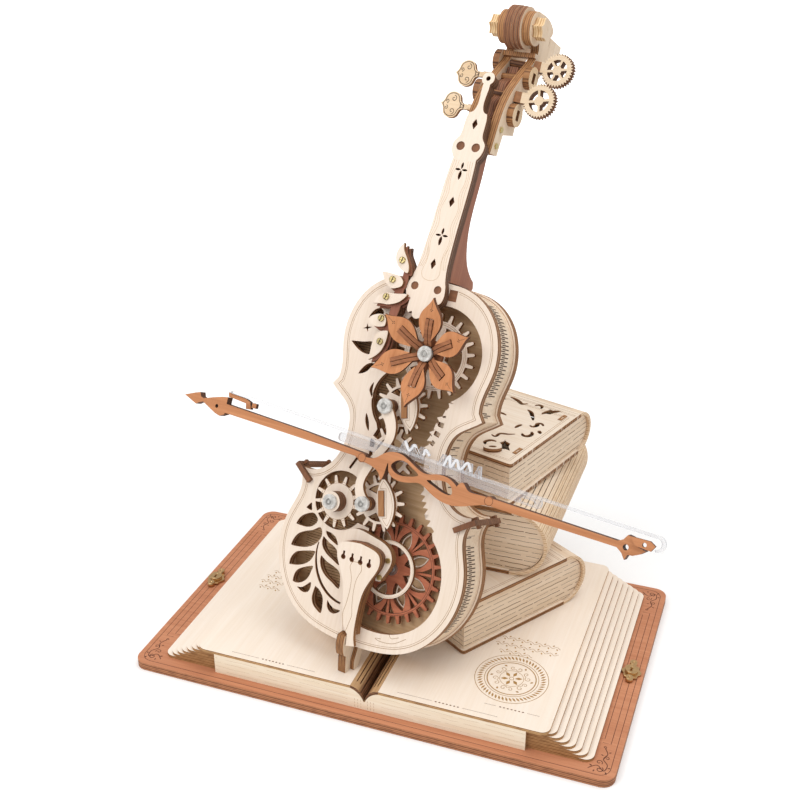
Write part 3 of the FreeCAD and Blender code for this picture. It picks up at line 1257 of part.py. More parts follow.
NECK_TOP = 152.0
NECK_BACK = [(-15.9, NECK_TOP), (-15.9, 135.0), (-15.0, 120.0), (-15.5, 105.0), (-17.0, 100.0),
             (-19.3, 95.0), (-23.7, 90.0), (-28.4, 87.0), (-31.6, 85.6)]
NECK_HEEL = [(-31.6, 85.6), (-32.8, 82.2), (-27.6, 82.2)]
FLOOR_FRONT = [(-11.6, NECK_TOP + 0.1), (-13.5, 157.0), (-16.0, 160.5), (-16.5, 166.0), (-20.5, 170.0),
               (-22.0, 176.0), (-27.5, 180.0), (-30.0, 186.0)]
FLOOR_BACK = [(-38.0, 186.5), (-33.5, 180.0), (-29.0, 172.0), (-27.0, 164.0), (-25.5, 158.5), (-24.6, 155.5),
              (-15.9, NECK_TOP + 0.1)]
FLOOR_SIDE_DROP = 1.4


def board_back(v):
    """Depth w of the core's back face at height v."""
    tilt = math.radians(FINGER_TILT)
    face = FINGER_FOOT_W - (v - FINGER_FOOT_V) * math.tan(tilt)
    return face - (SHEET + FINGER_CORE) / math.cos(tilt) - PRESS_CLEAR


def pegbox_floor(low, high, drop):
    """Sheets on edge between the cheeks, with a wavy front lowered by drop."""
    front = [(w - drop, v) for w, v in FLOOR_FRONT]
    edges = [curve(front), segment(front[-1], FLOOR_BACK[0]), curve(FLOOR_BACK[:-1]),
             segment(FLOOR_BACK[-2], FLOOR_BACK[-1]), segment(FLOOR_BACK[-1], front[0])]
    return side_profile(edges, low, high).cut(peg_bores())


def make_neck():
    foot = 82.0 + SEAT_GAP
    back = NECK_HEEL[-1][0]
    top = board_back(NECK_TOP)
    edges = [segment((board_back(foot), foot), (top, NECK_TOP)), segment((top, NECK_TOP), NECK_BACK[0]),
             segment(NECK_BACK[0], NECK_BACK[1]), curve(NECK_BACK[1:]), curve(NECK_HEEL),
             segment(NECK_HEEL[-1], (back, foot)), segment((back, foot), (board_back(foot), foot))]
    keel = side_profile(edges, -NECK_HALF, NECK_HALF)
    half = NECK_HALF / 2
    floor = [pegbox_floor(-half, half, 0.0)]
    floor += [pegbox_floor(low, low + half, FLOOR_SIDE_DROP) for low in (-NECK_HALF, half)]
    export_cello("neck", keel, *floor)


# Pegbox, pegs and scroll

CHEEK_FRONT = [(-9.4, 141.6), (-10.4, 149.3), (-11.2, 155.3), (-12.4, 161.0), (-14.4, 166.8), (-18.2, 173.4),
               (-22.2, 178.4), (-25.8, 182.6), (-30.2, 187.2), (-33.6, 192.0), (-34.2, 195.4)]
VOLUTE = [(-32.9, 198.6), (-19.2, 203.1), (-26.8, 210.7)]
CHEEK_CROWN = [(-26.8, 210.7), (-33.0, 211.2), (-40.0, 210.6), (-44.6, 208.4)]
CHEEK_CURL = [(-44.6, 208.4), (-45.0, 206.2), (-43.6, 204.7)]
CHEEK_SEAT = [(-43.6, 204.7), (-43.4, 200.6), (-55.5, 200.6), (-55.6, 199.6)]
CHEEK_BACK = [(-55.6, 199.6), (-50.0, 195.0), (-44.5, 188.5), (-39.0, 181.5), (-34.8, 173.5), (-32.0, 165.0),
              (-28.4, 158.4)]
CHEEK_FOOT = [(-28.4, 158.4), (-28.4, 154.2), (-18.0, 151.8), (-16.6, 142.0), (-9.4, 141.6)]
LID_W = (-57.6, -43.7)
LID_V = 200.62
LID_SHEET = 1.94
BAR_AT = (-33.1, 192.4)
BAR_DEPTH = 3.0
BAR_HEIGHT = 2.0
# height, depth and slope of each peg
PEG_LEFT_UP = (180.9, -28.9, 1.7)
PEG_LEFT_LOW = (162.5, -21.5, -2.1)
PEG_RIGHT_UP = (188.5, -34.2, -4.2)
PEG_RIGHT_LOW = (170.8, -21.5, -3.7)
PEG_RADIUS = 1.6
BOSS_RADIUS = 5.2
BOSS_RING = 1.6
BOSS_SLOT = (4.8, 2.9)
PEG_SHOULDER = 13.6
HEAD_NECK = [(0.0, 1.2), (-3.0, 1.2)]
HEAD_LOBE = [(-3.0, 1.2), (-4.4, 2.2), (-5.4, 4.6), (-8.4, 6.1), (-11.4, 5.2), (-12.8, 3.0)]
HEAD_TIP = [(-12.8, 3.0), (-13.4, 1.4), (-14.8, 0.0)]
WHEEL_RADIUS = 7.8
WHEEL_ROOT = 6.7
WHEEL_TEETH = 34
WHEEL_WINDOW = (2.2, 4.8)
WHEEL_HALF = 2.0
FLAT_GAP = 0.3
PEG_END_GAP = 0.15
STEM_HALF = 2.4
KNOB_RADIUS = 5.1
KNOB_DIP = 3.9
KNOB_LOBES = 6
KNOB_REACH = {-1: 5.55, 1: 4.65}


def sloped(shape, peg):
    """Shape built level about a peg's axis, turned to the peg's slope."""
    v, w, slope = peg
    copy = shape.copy()
    copy.rotate(V(0, v, w), V(0, 0, 1), slope)
    return copy


def peg_bore(peg):
    v, w, _ = peg
    reach = CHEEK_INNER + 2 * SHEET + 2 * BOSS_RING
    return sloped(across(v, w, PEG_RADIUS + PRESS_CLEAR, -reach, reach), peg)


def peg_bores():
    return [peg_bore(peg) for peg in (PEG_LEFT_UP, PEG_LEFT_LOW, PEG_RIGHT_UP, PEG_RIGHT_LOW)]


def crossbar(clear=0.0):
    w, v = BAR_AT
    reach = CHEEK_INNER + 2 * SHEET + clear
    depth = BAR_DEPTH / 2 + clear
    height = BAR_HEIGHT / 2 + clear
    return box(-reach, reach, v - height, v + height, w - depth, w + depth)


def cheek(inner):
    """One sheet of a pegbox cheek, ending in the scroll's volute."""
    edges = [curve(CHEEK_FRONT), segment(CHEEK_FRONT[-1], VOLUTE[0]), arc(*VOLUTE), curve(CHEEK_CROWN),
             curve(CHEEK_CURL), curve(CHEEK_BACK)]
    for chain in (CHEEK_SEAT, CHEEK_FOOT):
        edges += [segment(a, b) for a, b in zip(chain, chain[1:])]
    sheet = side_profile(edges, inner, inner + SHEET)
    v, w = SCROLL_AT
    axle = across(v, w, PEG_RADIUS + PRESS_CLEAR, inner - 1, inner + SHEET + 1)
    return sheet.cut([axle, crossbar(PRESS_CLEAR)])


def make_pegbox():
    sheets = []
    bores = peg_bores()
    for k in range(2):
        sheet = cheek(CHEEK_INNER + k * SHEET)
        sheets += [sheet.cut(bores), mirrored(sheet).cut(bores)]
    outer = CHEEK_INNER + 2 * SHEET
    back, front = LID_W
    for k in range(2):
        low = LID_V + k * LID_SHEET
        sheets.append(box(-outer, outer, low, low + LID_SHEET, back, front))
    export_cello("pegbox_cheeks", *(sheets + [crossbar()]))


def knob(side):
    """Fluted knob on the scroll's axle, outside a cheek."""
    v, w = SCROLL_AT
    low = CHEEK_INNER + 2 * SHEET + SEAT_GAP / 2
    high = low + KNOB_REACH[side]
    rim = []
    for k in range(2 * KNOB_LOBES):
        radius = KNOB_DIP if k % 2 else KNOB_RADIUS
        rim.append(point(polar((w, v), radius, 180.0 / KNOB_LOBES * k)))
    spline = Part.BSplineCurve()
    spline.interpolate(rim, PeriodicFlag=True)
    star = side_profile([spline.toShape()], low, high)
    star = star.cut(across(v, w, PEG_RADIUS + PRESS_CLEAR, low - 1, high + 1))
    return star if side > 0 else mirrored(star)


def make_scroll():
    v, w = SCROLL_AT
    half = SCROLL_DISCS * DISC_SHEET / 2
    discs = []
    for k in range(SCROLL_DISCS):
        low = -half + k * DISC_SHEET
        radius = SCROLL_RADIUS - 0.2 * max(0, k - 1)
        sheet = across(v, w, radius, low, low + DISC_SHEET)
        discs.append(sheet.cut(across(v, w, PEG_RADIUS + PRESS_CLEAR, low - 1, low + DISC_SHEET + 1)))
    export_cello("scroll_discs", *discs)
    outer = CHEEK_INNER + 2 * SHEET
    axle = across(v, w, PEG_RADIUS, -outer - KNOB_REACH[-1], outer + KNOB_REACH[1])
    export_cello("scroll_trim", axle, knob(-1), knob(1))


def ornate_head(v, w):
    """Heart-shaped thumb piece at the left end of a peg."""
    def flip(points):
        return [(x, -y) for x, y in points]
    edges = []
    for chain in (HEAD_LOBE, HEAD_TIP):
        edges += [curve(chain), curve(flip(chain))]
    edges += [segment(*HEAD_NECK), segment(*flip(HEAD_NECK)), segment(HEAD_NECK[0], flip(HEAD_NECK)[0])]
    head = extrude(edges, w - SHEET / 2, w + SHEET / 2)
    return shifted(head, -PEG_SHOULDER, v, 0)


def toothed_head(at, w):
    """Fine-toothed disc at the right end of a peg."""
    rim = []
    step = 360.0 / WHEEL_TEETH
    for k in range(WHEEL_TEETH):
        rim += [polar(at, WHEEL_ROOT, k * step), polar(at, WHEEL_RADIUS, (k + 0.5) * step)]
    return polygon(rim, w - WHEEL_HALF, w + WHEEL_HALF)


def boss(peg, side):
    """Two rings on a cheek round a peg's far end, the outer one with a slot."""
    v, w, slope = peg
    low = CHEEK_INNER + 2 * SHEET + PRESS_CLEAR
    v += side * (low + BOSS_RING) * math.tan(math.radians(slope))
    rings = []
    tall, wide = BOSS_SLOT
    slot = box(low, low + 3 * BOSS_RING, v - tall / 2, v + tall / 2, w - wide / 2, w + wide / 2)
    for k in range(2):
        start = low + k * BOSS_RING
        ring = across(v, w, BOSS_RADIUS, start, start + BOSS_RING)
        rings.append(ring.cut(slot) if k else ring)
    if side < 0:
        rings = [mirrored(ring) for ring in rings]
    rings[0] = rings[0].cut(peg_bore(peg))
    return rings


def make_pegs():
    outer = CHEEK_INNER + 2 * SHEET
    end = outer + BOSS_RING - PEG_END_GAP
    left = []
    for peg in (PEG_LEFT_UP, PEG_LEFT_LOW):
        v, w, _ = peg
        stem = across(v, w, PEG_RADIUS, -PEG_SHOULDER - 0.4, end)
        left.append(sloped(stem.fuse(ornate_head(v, w)).removeSplitter(), peg))
        left += boss(peg, 1)
    export_cello("pegs_left", *left)
    right = []
    for peg, x, windows in ((PEG_RIGHT_UP, 20.3, 6), (PEG_RIGHT_LOW, 20.8, 4)):
        v, w, _ = peg
        at = (x, v)
        head = spoked(toothed_head(at, w), at, WHEEL_WINDOW[0], WHEEL_WINDOW[1], windows, w - WHEEL_HALF,
                      15.0, 1.1, 2 * WHEEL_HALF)
        flat = box(outer + FLAT_GAP, x - WHEEL_ROOT + 1.0, v - STEM_HALF, v + STEM_HALF,
                   w - WHEEL_HALF, w + WHEEL_HALF)
        stem = across(v, w, PEG_RADIUS, -end, outer + 1.0)
        right.append(sloped(head.fuse([flat, stem]).removeSplitter(), peg))
        right += boss(peg, -1)
    export_cello("pegs_right", *right)


# Leaf cluster left of the fingerboard's foot: cream leaves on brown layers

LEAF_SHAPES = [
    ((-15.7, 94.4), (-16.6, 87.0), (-11.8, 81.0), (-9.7, 86.4)),
    ((-22.4, 81.2), (-18.4, 75.4), (-9.4, 75.2), (-14.6, 81.0)),
    ((-23.4, 66.2), (-14.6, 66.0), (-6.6, 73.0), (-15.6, 73.2)),
    ((-24.6, 57.6), (-17.4, 54.4), (-9.4, 60.4), (-17.0, 62.6)),
    ((-18.4, 41.0), (-19.4, 47.6), (-11.6, 53.8), (-10.4, 45.4)),
]
LEAF_SCREWS = [(-13.0, 86.6), (-15.6, 77.4), (-16.8, 69.4), (-16.8, 59.6), (-14.8, 49.4)]
STALK = [(-10.2, 92.0), (-7.6, 84.0), (-8.4, 76.0), (-10.6, 68.0), (-11.2, 60.0), (-10.4, 50.0)]
STALK_BACK = [(-15.0, 50.0), (-16.6, 60.0), (-16.6, 68.0), (-14.6, 76.0), (-13.2, 84.0), (-13.6, 92.0)]


LEAF_DRIFT = 1.3
LEAF_SHADE = 0.5
LEAF_CLEAR = 9.9
LEAF_BORE = 0.9


def stalk(drift, low):
    """Layer behind the leaves' stalks, moved to the right by drift."""
    front = [(x + drift, y) for x, y in STALK]
    back = [(x + drift, y) for x, y in STALK_BACK]
    edges = [curve(front), segment(front[-1], back[0]), curve(back), segment(back[-1], front[0])]
    return extrude(edges, low, low + SHEET)


def make_leaves():
    layers = []
    clear = box(-LEAF_CLEAR, LEAF_CLEAR, 69.0, 120, -1, 7)
    for k in range(3):
        drift = LEAF_DRIFT * (2 - k) / 2
        low = SEAT_GAP / 2 + k * SHEET
        shades = [lens(*leaf, low, low + SHEET) for leaf in LEAF_SHAPES]
        shades = [shifted(shade, drift + LEAF_SHADE, -LEAF_SHADE, 0) for shade in shades]
        layers.append(stalk(drift, low).fuse(shades).removeSplitter().cut(clear))
    top = SEAT_GAP / 2 + 3 * SHEET
    leaves = [lens(*leaf, top, top + SHEET) for leaf in LEAF_SHAPES]
    holes = [disc(at, LEAF_BORE, top - 1, top + 3) for at in LEAF_SCREWS]
    export_cello("leaf_layers", *layers)
    export_cello("leaves", *[leaf.cut(hole) for leaf, hole in zip(leaves, holes)])


# Small brass screws

def brass_screw(at, low, length=2.4):
    """Slotted pan head on a short stem."""
    head = disc(at, 1.5, low, low + 0.7).fuse(disc(at, 0.88, low - length, low))
    slot = box(at[0] - 2, at[0] + 2, at[1] - 0.2, at[1] + 0.2, low + 0.4, low + 1)
    return head.removeSplitter().cut(slot)


TAIL_SCREWS = [(12.1, -44.0), (9.9, -52.4)]
CHEEK_SCREWS = [(145.8, -13.4), (153.5, -14.6)]


def make_screws():
    screws = [brass_screw(at, SEAT_GAP / 2 + 4 * SHEET + 0.02, 1.9) for at in LEAF_SCREWS]
    screws += [disc(at, 1.2, 2 * SHEET + 0.02, 2 * SHEET + 0.8) for at in TAIL_SCREWS]
    outer = CHEEK_INNER + 2 * SHEET + 0.02
    for v, w in CHEEK_SCREWS:
        screws.append(across(v, w, 1.3, outer, outer + 0.7))
        screws.append(across(v, w, 1.3, -outer - 0.7, -outer))
    export_cello("screws", *screws)


os.makedirs("parts", exist_ok=True)
make_base()
make_books()
make_body()
export_cello("corner_ties", *[corner_tie(*tie) for tie in TIES])
make_cranks()
make_idler()
make_left_gear()
make_flower()
make_rosette()
make_movement()
make_bow()
make_tail()
make_fingerboard()
make_neck()
make_pegbox()
make_scroll()
make_pegs()
make_leaves()
make_screws()
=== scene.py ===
import math
import random
import bmesh
import bpy
from mathutils import Matrix, Vector


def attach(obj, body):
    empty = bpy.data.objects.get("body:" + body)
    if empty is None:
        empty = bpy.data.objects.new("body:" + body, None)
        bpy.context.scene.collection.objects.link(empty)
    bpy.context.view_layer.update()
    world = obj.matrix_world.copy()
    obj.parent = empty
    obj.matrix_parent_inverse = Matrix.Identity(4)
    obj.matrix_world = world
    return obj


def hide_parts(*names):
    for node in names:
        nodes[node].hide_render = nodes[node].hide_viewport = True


# Materials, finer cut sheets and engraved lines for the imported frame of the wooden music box.
# Lengths are in millimetres on the planes of the sheets; MM turns them into metres. +Z is up.

MM = 0.001
SHEET = 2.0
PAGE_SHEET = 1.5
PAGE_TOP = 16.0
# Engraved lines stand off their face by this much
LIFT = 0.02
# Faces of the sheets, as heights over the cello's plane
BACKING_FACE = -2.0
ROSETTE_FACE = -6.0
DEPTH_FACE = -10.0
BACK_FACE = -20.0
CRANK_FACE = 4.2
LEFT_FACE = 2.2
FLOWER_FACE = -2.0
BOW_FACE = 12.0
LEAF_SCREW_FACE = 8.77
# Front of the panels under the pages, before the middle of the base
PANEL_FACE = 66.5

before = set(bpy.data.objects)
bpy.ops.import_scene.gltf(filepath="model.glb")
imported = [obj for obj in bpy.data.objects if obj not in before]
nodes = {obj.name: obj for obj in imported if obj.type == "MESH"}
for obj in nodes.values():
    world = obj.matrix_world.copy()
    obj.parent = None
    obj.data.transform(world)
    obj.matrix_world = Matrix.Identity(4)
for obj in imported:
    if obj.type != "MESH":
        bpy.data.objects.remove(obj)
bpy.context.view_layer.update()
chance = random.Random(11)


# Planes that the sheets lie in: x and y in the sheet, z off its face

def plane(at, yaw=0.0, lean=0.0):
    """Plane at a point in millimetres, turned about Z, then tipped about its own x."""
    place = Matrix.Translation(Vector(at) * MM)
    return place @ Matrix.Rotation(math.radians(yaw), 4, "Z") @ Matrix.Rotation(math.radians(lean), 4, "X")


TABLE = plane((0, 0, 0))
FRONT = plane((0, 0, 0), 0, 90)
CELLO = plane((-3.89, -17.02, 106.77), -11.0, 64.0)
BOARD = CELLO @ plane((0, 80.0, 4.7), 0, -7.24)
TAIL = CELLO @ plane((0, -86.2, 4.1), 0, 5.1)
SIDE = CELLO @ Matrix.Rotation(math.radians(90), 4, "Y")
BOOKS = {
    "low": (plane((35.5, -28.7, PAGE_TOP), 57.5), 64.5, 80.0, 27.5),
    "mid": (plane((-10.0, 2.0, PAGE_TOP + 27.5), 0.5), 57.5, 92.0, 35.0),
    "top": (plane((45.4, 5.2, PAGE_TOP + 62.5), 73.0), 64.0, 50.0, 22.5),
}
PIN_LOW = (-4.582, -22.562)
PIN_UP = (-4.582, 22.238)
GEAR_LEFT = (-20.838, -25.996)
FLOWER = (8.446, 48.779)
ROSETTE = (9.920, -49.059)


# Materials

def srgb(red, green, blue):
    """Colour given as it looks on screen, 0 to 255, as linear values."""
    def linear(value):
        value = value / 255.0
        return value / 12.92 if value <= 0.04045 else ((value + 0.055) / 1.055) ** 2.4
    return (linear(red), linear(green), linear(blue), 1.0)


def tones(*values):
    """Light and dark colour from six values."""
    return srgb(*values[:3]), srgb(*values[3:])


def darker(colour, part):
    return tuple(c * (1 - part) for c in colour[:3]) + (1,)


class Shader:
    """A new material, or a world, with short calls to add and join its nodes."""

    def __init__(self, owner, output="OutputMaterial"):
        self.owner = bpy.data.materials.new(owner) if isinstance(owner, str) else owner
        self.owner.use_nodes = True
        self.tree = self.owner.node_tree
        self.tree.nodes.clear()
        self.output = self.add(output)

    def add(self, kind, inputs=None, **settings):
        node = self.tree.nodes.new("ShaderNode" + kind)
        for key, value in settings.items():
            setattr(node, key, value)
        for key, value in (inputs or {}).items():
            self.put(node.inputs[key], value)
        return node

    def put(self, socket, value):
        if isinstance(value, bpy.types.NodeSocket):
            self.tree.links.new(value, socket)
        else:
            socket.default_value = value

    def math(self, operation, *values):
        node = self.add("Math", operation=operation)
        for socket, value in zip(node.inputs, values):
            self.put(socket, value)
        return node.outputs[0]

    def ramp(self, value, *stops):
        """Colour ramp through (position, colour) stops."""
        node = self.add("ValToRGB")
        elements = node.color_ramp.elements
        while len(elements) < len(stops):
            elements.new(0.5)
        for element, (position, colour) in zip(elements, stops):
            element.position = position
            element.color = colour
        self.put(node.inputs[0], value)
        return node.outputs[0]

    def mix(self, factor, one, two):
        node = self.add("Mix", data_type="RGBA")
        self.put(node.inputs[0], factor)
        self.put(node.inputs[6], one)
        self.put(node.inputs[7], two)
        return node.outputs[2]

    def local(self, at, scale=(1, 1, 1)):
        """Object coordinates turned into a plane's own axes."""
        coords = self.add("TexCoord")
        turned = self.add("Mapping", {"Vector": coords.outputs["Object"],
                                      "Rotation": at.to_3x3().inverted().to_euler("XYZ"),
                                      "Location": at.inverted().translation})
        if scale == (1, 1, 1):
            return turned.outputs[0]
        return self.add("Mapping", {"Vector": turned.outputs[0], "Scale": scale}).outputs[0]

    def noise(self, at, scale, detail=2.0):
        inputs = {"Vector": self.local(at, scale), "Scale": 1.0, "Detail": detail}
        return self.add("TexNoise", inputs).outputs[0]

    def facing(self, at, low=0.62, high=0.8):
        """1 on faces that look along or against a plane's normal, 0 on the cut edges."""
        coords = self.add("TexCoord")
        dot = self.add("VectorMath", operation="DOT_PRODUCT")
        self.put(dot.inputs[0], coords.outputs["Normal"])
        dot.inputs[1].default_value = at.to_3x3() @ Vector((0, 0, 1))
        size = self.math("ABSOLUTE", dot.outputs["Value"])
        clamp = self.add("MapRange", {"Value": size, "From Min": low, "From Max": high})
        return clamp.outputs[0]

    def surface(self, colour, roughness, height=None, strength=0.2, distance=0.0002, **inputs):
        shader = self.add("BsdfPrincipled")
        self.put(shader.inputs["Base Color"], colour)
        self.put(shader.inputs["Roughness"], roughness)
        for key, value in inputs.items():
            self.put(shader.inputs[key.replace("_", " ")], value)
        if height is not None:
            bump = self.add("Bump", {"Height": height, "Strength": strength, "Distance": distance})
            self.put(shader.inputs["Normal"], bump.outputs[0])
        return self.end_with(shader)

    def seen(self):
        """1 for rays that show a surface, 0 for those that only light others."""
        path = self.add("LightPath")
        return self.math("MAXIMUM", path.outputs["Is Camera Ray"], path.outputs["Is Transmission Ray"])

    def end_with(self, shader):
        self.put(self.output.inputs[0], shader.outputs[0])
        return self.owner


# Plywood: light and dark of the face, light and dark of the laser-cut edge
CREAM = tones(243, 227, 212, 233, 214, 194)
CREAM_WARM = tones(240, 220, 196, 222, 197, 168)
TAN = tones(222, 190, 150, 196, 160, 120)
RED = tones(207, 144, 108, 180, 116, 82)
ROSETTE_RED = tones(196, 120, 88, 170, 96, 68)
AMBER = tones(212, 148, 102, 186, 120, 76)
ROSY = tones(168, 110, 88, 146, 92, 72)
UMBER = tones(146, 98, 68, 112, 74, 52)
BURNT = tones(166, 118, 76, 92, 60, 38)
BURNT_DEEP = tones(134, 92, 62, 76, 50, 34)
BURNT_PALE = tones(206, 164, 114, 122, 82, 48)
# Cut edges of the page steps: laser burn, darkened further with painted shade between the steps
STEP_EDGE_BURNT_AND_SHADED = tones(186, 140, 92, 112, 74, 42)
PAGE = tones(247, 235, 222, 238, 222, 203)
# Round bosses on the pegbox lie within this distance of its middle, with their faces to the sides
BOSS_REACH = 12.0


def plywood(name, face, edge, at, thickness=SHEET, along="x", skin=False, figure=1.0, bosses=False):
    """Sheet with grain on its faces and burnt plies on its cut edges; a skin has its face on the sides."""
    shader = Shader(name)

    def grained(with_grain, cross):
        return (with_grain, cross, cross) if along == "x" else (cross, with_grain, cross)
    stretched = shader.local(at, grained(30.0, 800.0))
    grain = shader.add("TexNoise", {"Vector": stretched, "Scale": 1.0, "Detail": 4.0, "Roughness": 0.62})
    wide = shader.add("Mapping", {"Vector": stretched, "Scale": grained(0.35, 0.14)})
    bands = shader.add("TexNoise", {"Vector": wide.outputs[0], "Scale": 1.0, "Detail": 2.0,
                                    "Distortion": 0.6})
    mixed = shader.math("ADD", shader.math("MULTIPLY", grain.outputs[0], 0.6),
                        shader.math("MULTIPLY", bands.outputs[0], 0.4))
    spread = 0.17 / figure
    face_colour = shader.ramp(mixed, (0.5 - spread, face[1]), (0.5 + spread, face[0]))
    across = shader.add("SeparateXYZ", {"Vector": shader.local(at)})
    ply = shader.math("FRACT", shader.math("DIVIDE", across.outputs["Z"], thickness * MM))
    light, dark = edge
    plies = shader.ramp(ply, (0.0, dark), (0.12, light), (0.36, light), (0.46, dark), (0.58, dark),
                        (0.68, light), (0.9, light), (1.0, dark))
    soot = shader.noise(at, (260, 260, 900), 3.0)
    soot = shader.ramp(soot, (0.45, (0, 0, 0, 1)), (0.75, (0.6, 0.6, 0.6, 1)))
    burnt = shader.mix(soot, plies, dark)
    mask = shader.facing(at)
    if bosses:
        offset = shader.add("SeparateXYZ", {"Vector": shader.local(CELLO)})
        near = shader.math("LESS_THAN", shader.math("ABSOLUTE", offset.outputs["X"]), BOSS_REACH * MM)
        mask = shader.math("ADD", shader.math("MULTIPLY", near, shader.facing(SIDE)),
                           shader.math("MULTIPLY", shader.math("SUBTRACT", 1.0, near), mask))
    one, two = (face_colour, burnt) if skin else (burnt, face_colour)
    return shader.surface(shader.mix(mask, one, two), 0.62, mixed, 0.12, Specular_IOR_Level=0.3)


def metal(name, colour, roughness):
    """Turned or stamped metal with fine scratches."""
    shader = Shader(name)
    fine = shader.noise(CELLO, (700, 700, 700))
    tone = shader.ramp(fine, (0.3, darker(colour, 0.1)), (0.7, colour))
    rough = shader.math("ADD", roughness - 0.04, shader.math("MULTIPLY", fine, 0.08))
    return shader.surface(tone, rough, fine, 0.02, Metallic=1.0)


def clear_plastic(name):
    """Clear acrylic: nearly unseen on its faces, milky and bright on its polished edges."""
    shader = Shader(name)
    mask = shader.facing(CELLO)
    haze = shader.math("MULTIPLY", shader.noise(CELLO, (300, 300, 300), 3.0), 0.1)
    edge = shader.math("MULTIPLY", shader.math("SUBTRACT", 1.0, mask), 0.5)
    alpha = shader.math("ADD", shader.math("ADD", 0.2, haze), edge)
    tint = shader.mix(mask, srgb(206, 206, 210), srgb(238, 238, 242))
    return shader.surface(tint, 0.08, Alpha=alpha, Coat_Weight=0.4, Coat_Roughness=0.04)


def glazed(name, scale, dark, light, roughness, **inputs):
    """Pale plastic with an even haze."""
    shader = Shader(name)
    tone = shader.ramp(shader.noise(CELLO, (scale, scale, scale)), (0.3, dark), (0.7, light))
    return shader.surface(tone, roughness, **inputs)


def ink(name, colour, depth=0.25):
    """Laser-engraved line: toasted wood, lighter where the beam moved fast."""
    shader = Shader(name)
    beam = shader.noise(TABLE, (500, 500, 500))
    tone = shader.ramp(beam, (0.35, darker(colour, depth)), (0.65, colour))
    return shader.surface(tone, 0.7, beam, 0.1)


def paint(names, material):
    for name in names:
        materials = nodes[name].data.materials
        if not materials:
            materials.append(material)
        for index in range(len(materials)):
            materials[index] = material


def wood(names, *looks, **options):
    """Paint nodes, named in one string, with a plywood of their own."""
    paint(names.split(), plywood(*looks, **options))


wood("base_board", "base_red", RED, tones(190, 128, 88, 104, 62, 42), TABLE, figure=0.8)
wood("page_left page_right", "page_cream", PAGE, BURNT_PALE, TABLE, PAGE_SHEET, "y", figure=0.7)
# The steps' cut edges carry painted shade between the steps on top of their burn
wood("page_steps", "step_cream", PAGE, STEP_EDGE_BURNT_AND_SHADED, TABLE, PAGE_SHEET, "y", figure=0.7)
# Front panels: their cream painted lighter than the pages, as painted light on faces that the lamps light
# less
wood("page_panels", "panel_cream", tones(252, 240, 220, 240, 220, 190), BURNT_PALE, FRONT)
wood("gutter_hinge", "gutter_tan", tones(206, 170, 128, 168, 126, 84), BURNT_DEEP, TABLE, along="y")
for key, (book, _, _, _) in BOOKS.items():
    wood("book_%s_covers" % key, "cover_" + key, tones(245, 232, 216, 232, 212, 188), BURNT, book, along="y")
    wood("book_%s_walls" % key, "wall_" + key, CREAM_WARM, CREAM_WARM, book, skin=True, figure=1.2)
    wood("book_%s_spine" % key, "spine_" + key, CREAM_WARM, tones(232, 206, 174, 196, 158, 118), book,
         along="y")
wood("crank_shaft_low crank_shaft_up", "key_strip", tones(186, 134, 88, 150, 100, 62), BURNT_DEEP, CELLO,
     along="y")
wood("left_hub", "hub_layers", CREAM, BURNT_DEEP, CELLO, along="y")
wood("mech_plate", "depth_tan", TAN, BURNT, CELLO, figure=1.3)
wood("corner_ties", "tie_brown", UMBER, BURNT_DEEP, CELLO, along="y")
wood("tail_riser leaf_layers", "rosy_layers", ROSY, BURNT_DEEP, CELLO, along="y")
wood("flower_petals", "petal_amber", AMBER, tones(120, 76, 50, 66, 40, 28), CELLO, along="y")
wood("flower_ribs", "rib_amber", tones(176, 116, 78, 132, 82, 54), tones(150, 94, 62, 70, 42, 28), CELLO, 1.6)
wood("bow bow_trim", "bow_amber", tones(206, 142, 98, 178, 116, 76), tones(112, 74, 54, 62, 42, 34), CELLO)
wood("ribs", "rib_skin", CREAM_WARM, BURNT, CELLO, skin=True, figure=1.2)
wood("tailpiece", "tail_cream", CREAM, BURNT, TAIL, along="y")
wood("fingerboard_core", "board_dark", UMBER, tones(118, 84, 62, 66, 44, 32), BOARD, along="y")
wood("neck", "neck_rosy", tones(170, 116, 92, 150, 98, 78), tones(150, 100, 72, 92, 60, 44), SIDE, along="y")
wood("pegbox_cheeks", "cheek_cream", CREAM_WARM, tones(186, 136, 90, 118, 78, 50), SIDE, along="y")
wood("endpin", "side_cream", CREAM_WARM, BURNT, SIDE, 1.6, "y")
wood("scroll_discs", "scroll_disc", CREAM_WARM, tones(158, 108, 76, 84, 54, 38), SIDE, 2.04, "y")
wood("scroll_trim", "scroll_knob", CREAM_WARM, tones(232, 204, 160, 186, 140, 92), SIDE, 2.4, "y")
wood("pegs_left", "peg_cream", tones(238, 214, 182, 222, 190, 150), BURNT, CELLO, 1.6, bosses=True)
wood("pegs_right", "wheel_cream", tones(236, 216, 190, 220, 194, 160), tones(160, 112, 76, 84, 54, 38),
     CELLO, 1.6, bosses=True)
cello_cream = plywood("cello_cream", CREAM, BURNT, CELLO, along="y")
paint(["lyre_ring", "tail_base", "leaves", "crank_low", "crank_up", "idler", "gear_left", "flower_gear",
       "link", "back_plate"], cello_cream)
paint(["clasps"], metal("clasp_bronze", srgb(206, 170, 122), 0.36))
paint(["screws"], metal("brass", srgb(206, 188, 132), 0.3))
paint(["crank_pin_low", "crank_pin_up", "flower_screw", "key", "movement_frame", "movement_drum"],
      metal("steel", srgb(222, 222, 222), 0.3))
paint(["bow_carrier", "bow_hair"], clear_plastic("acrylic"))

line_brown = ink("line_brown", srgb(118, 78, 46))
line_tan = ink("line_tan", srgb(172, 132, 86), 0.15)
line_faint = ink("line_faint", srgb(204, 172, 132), 0.1)
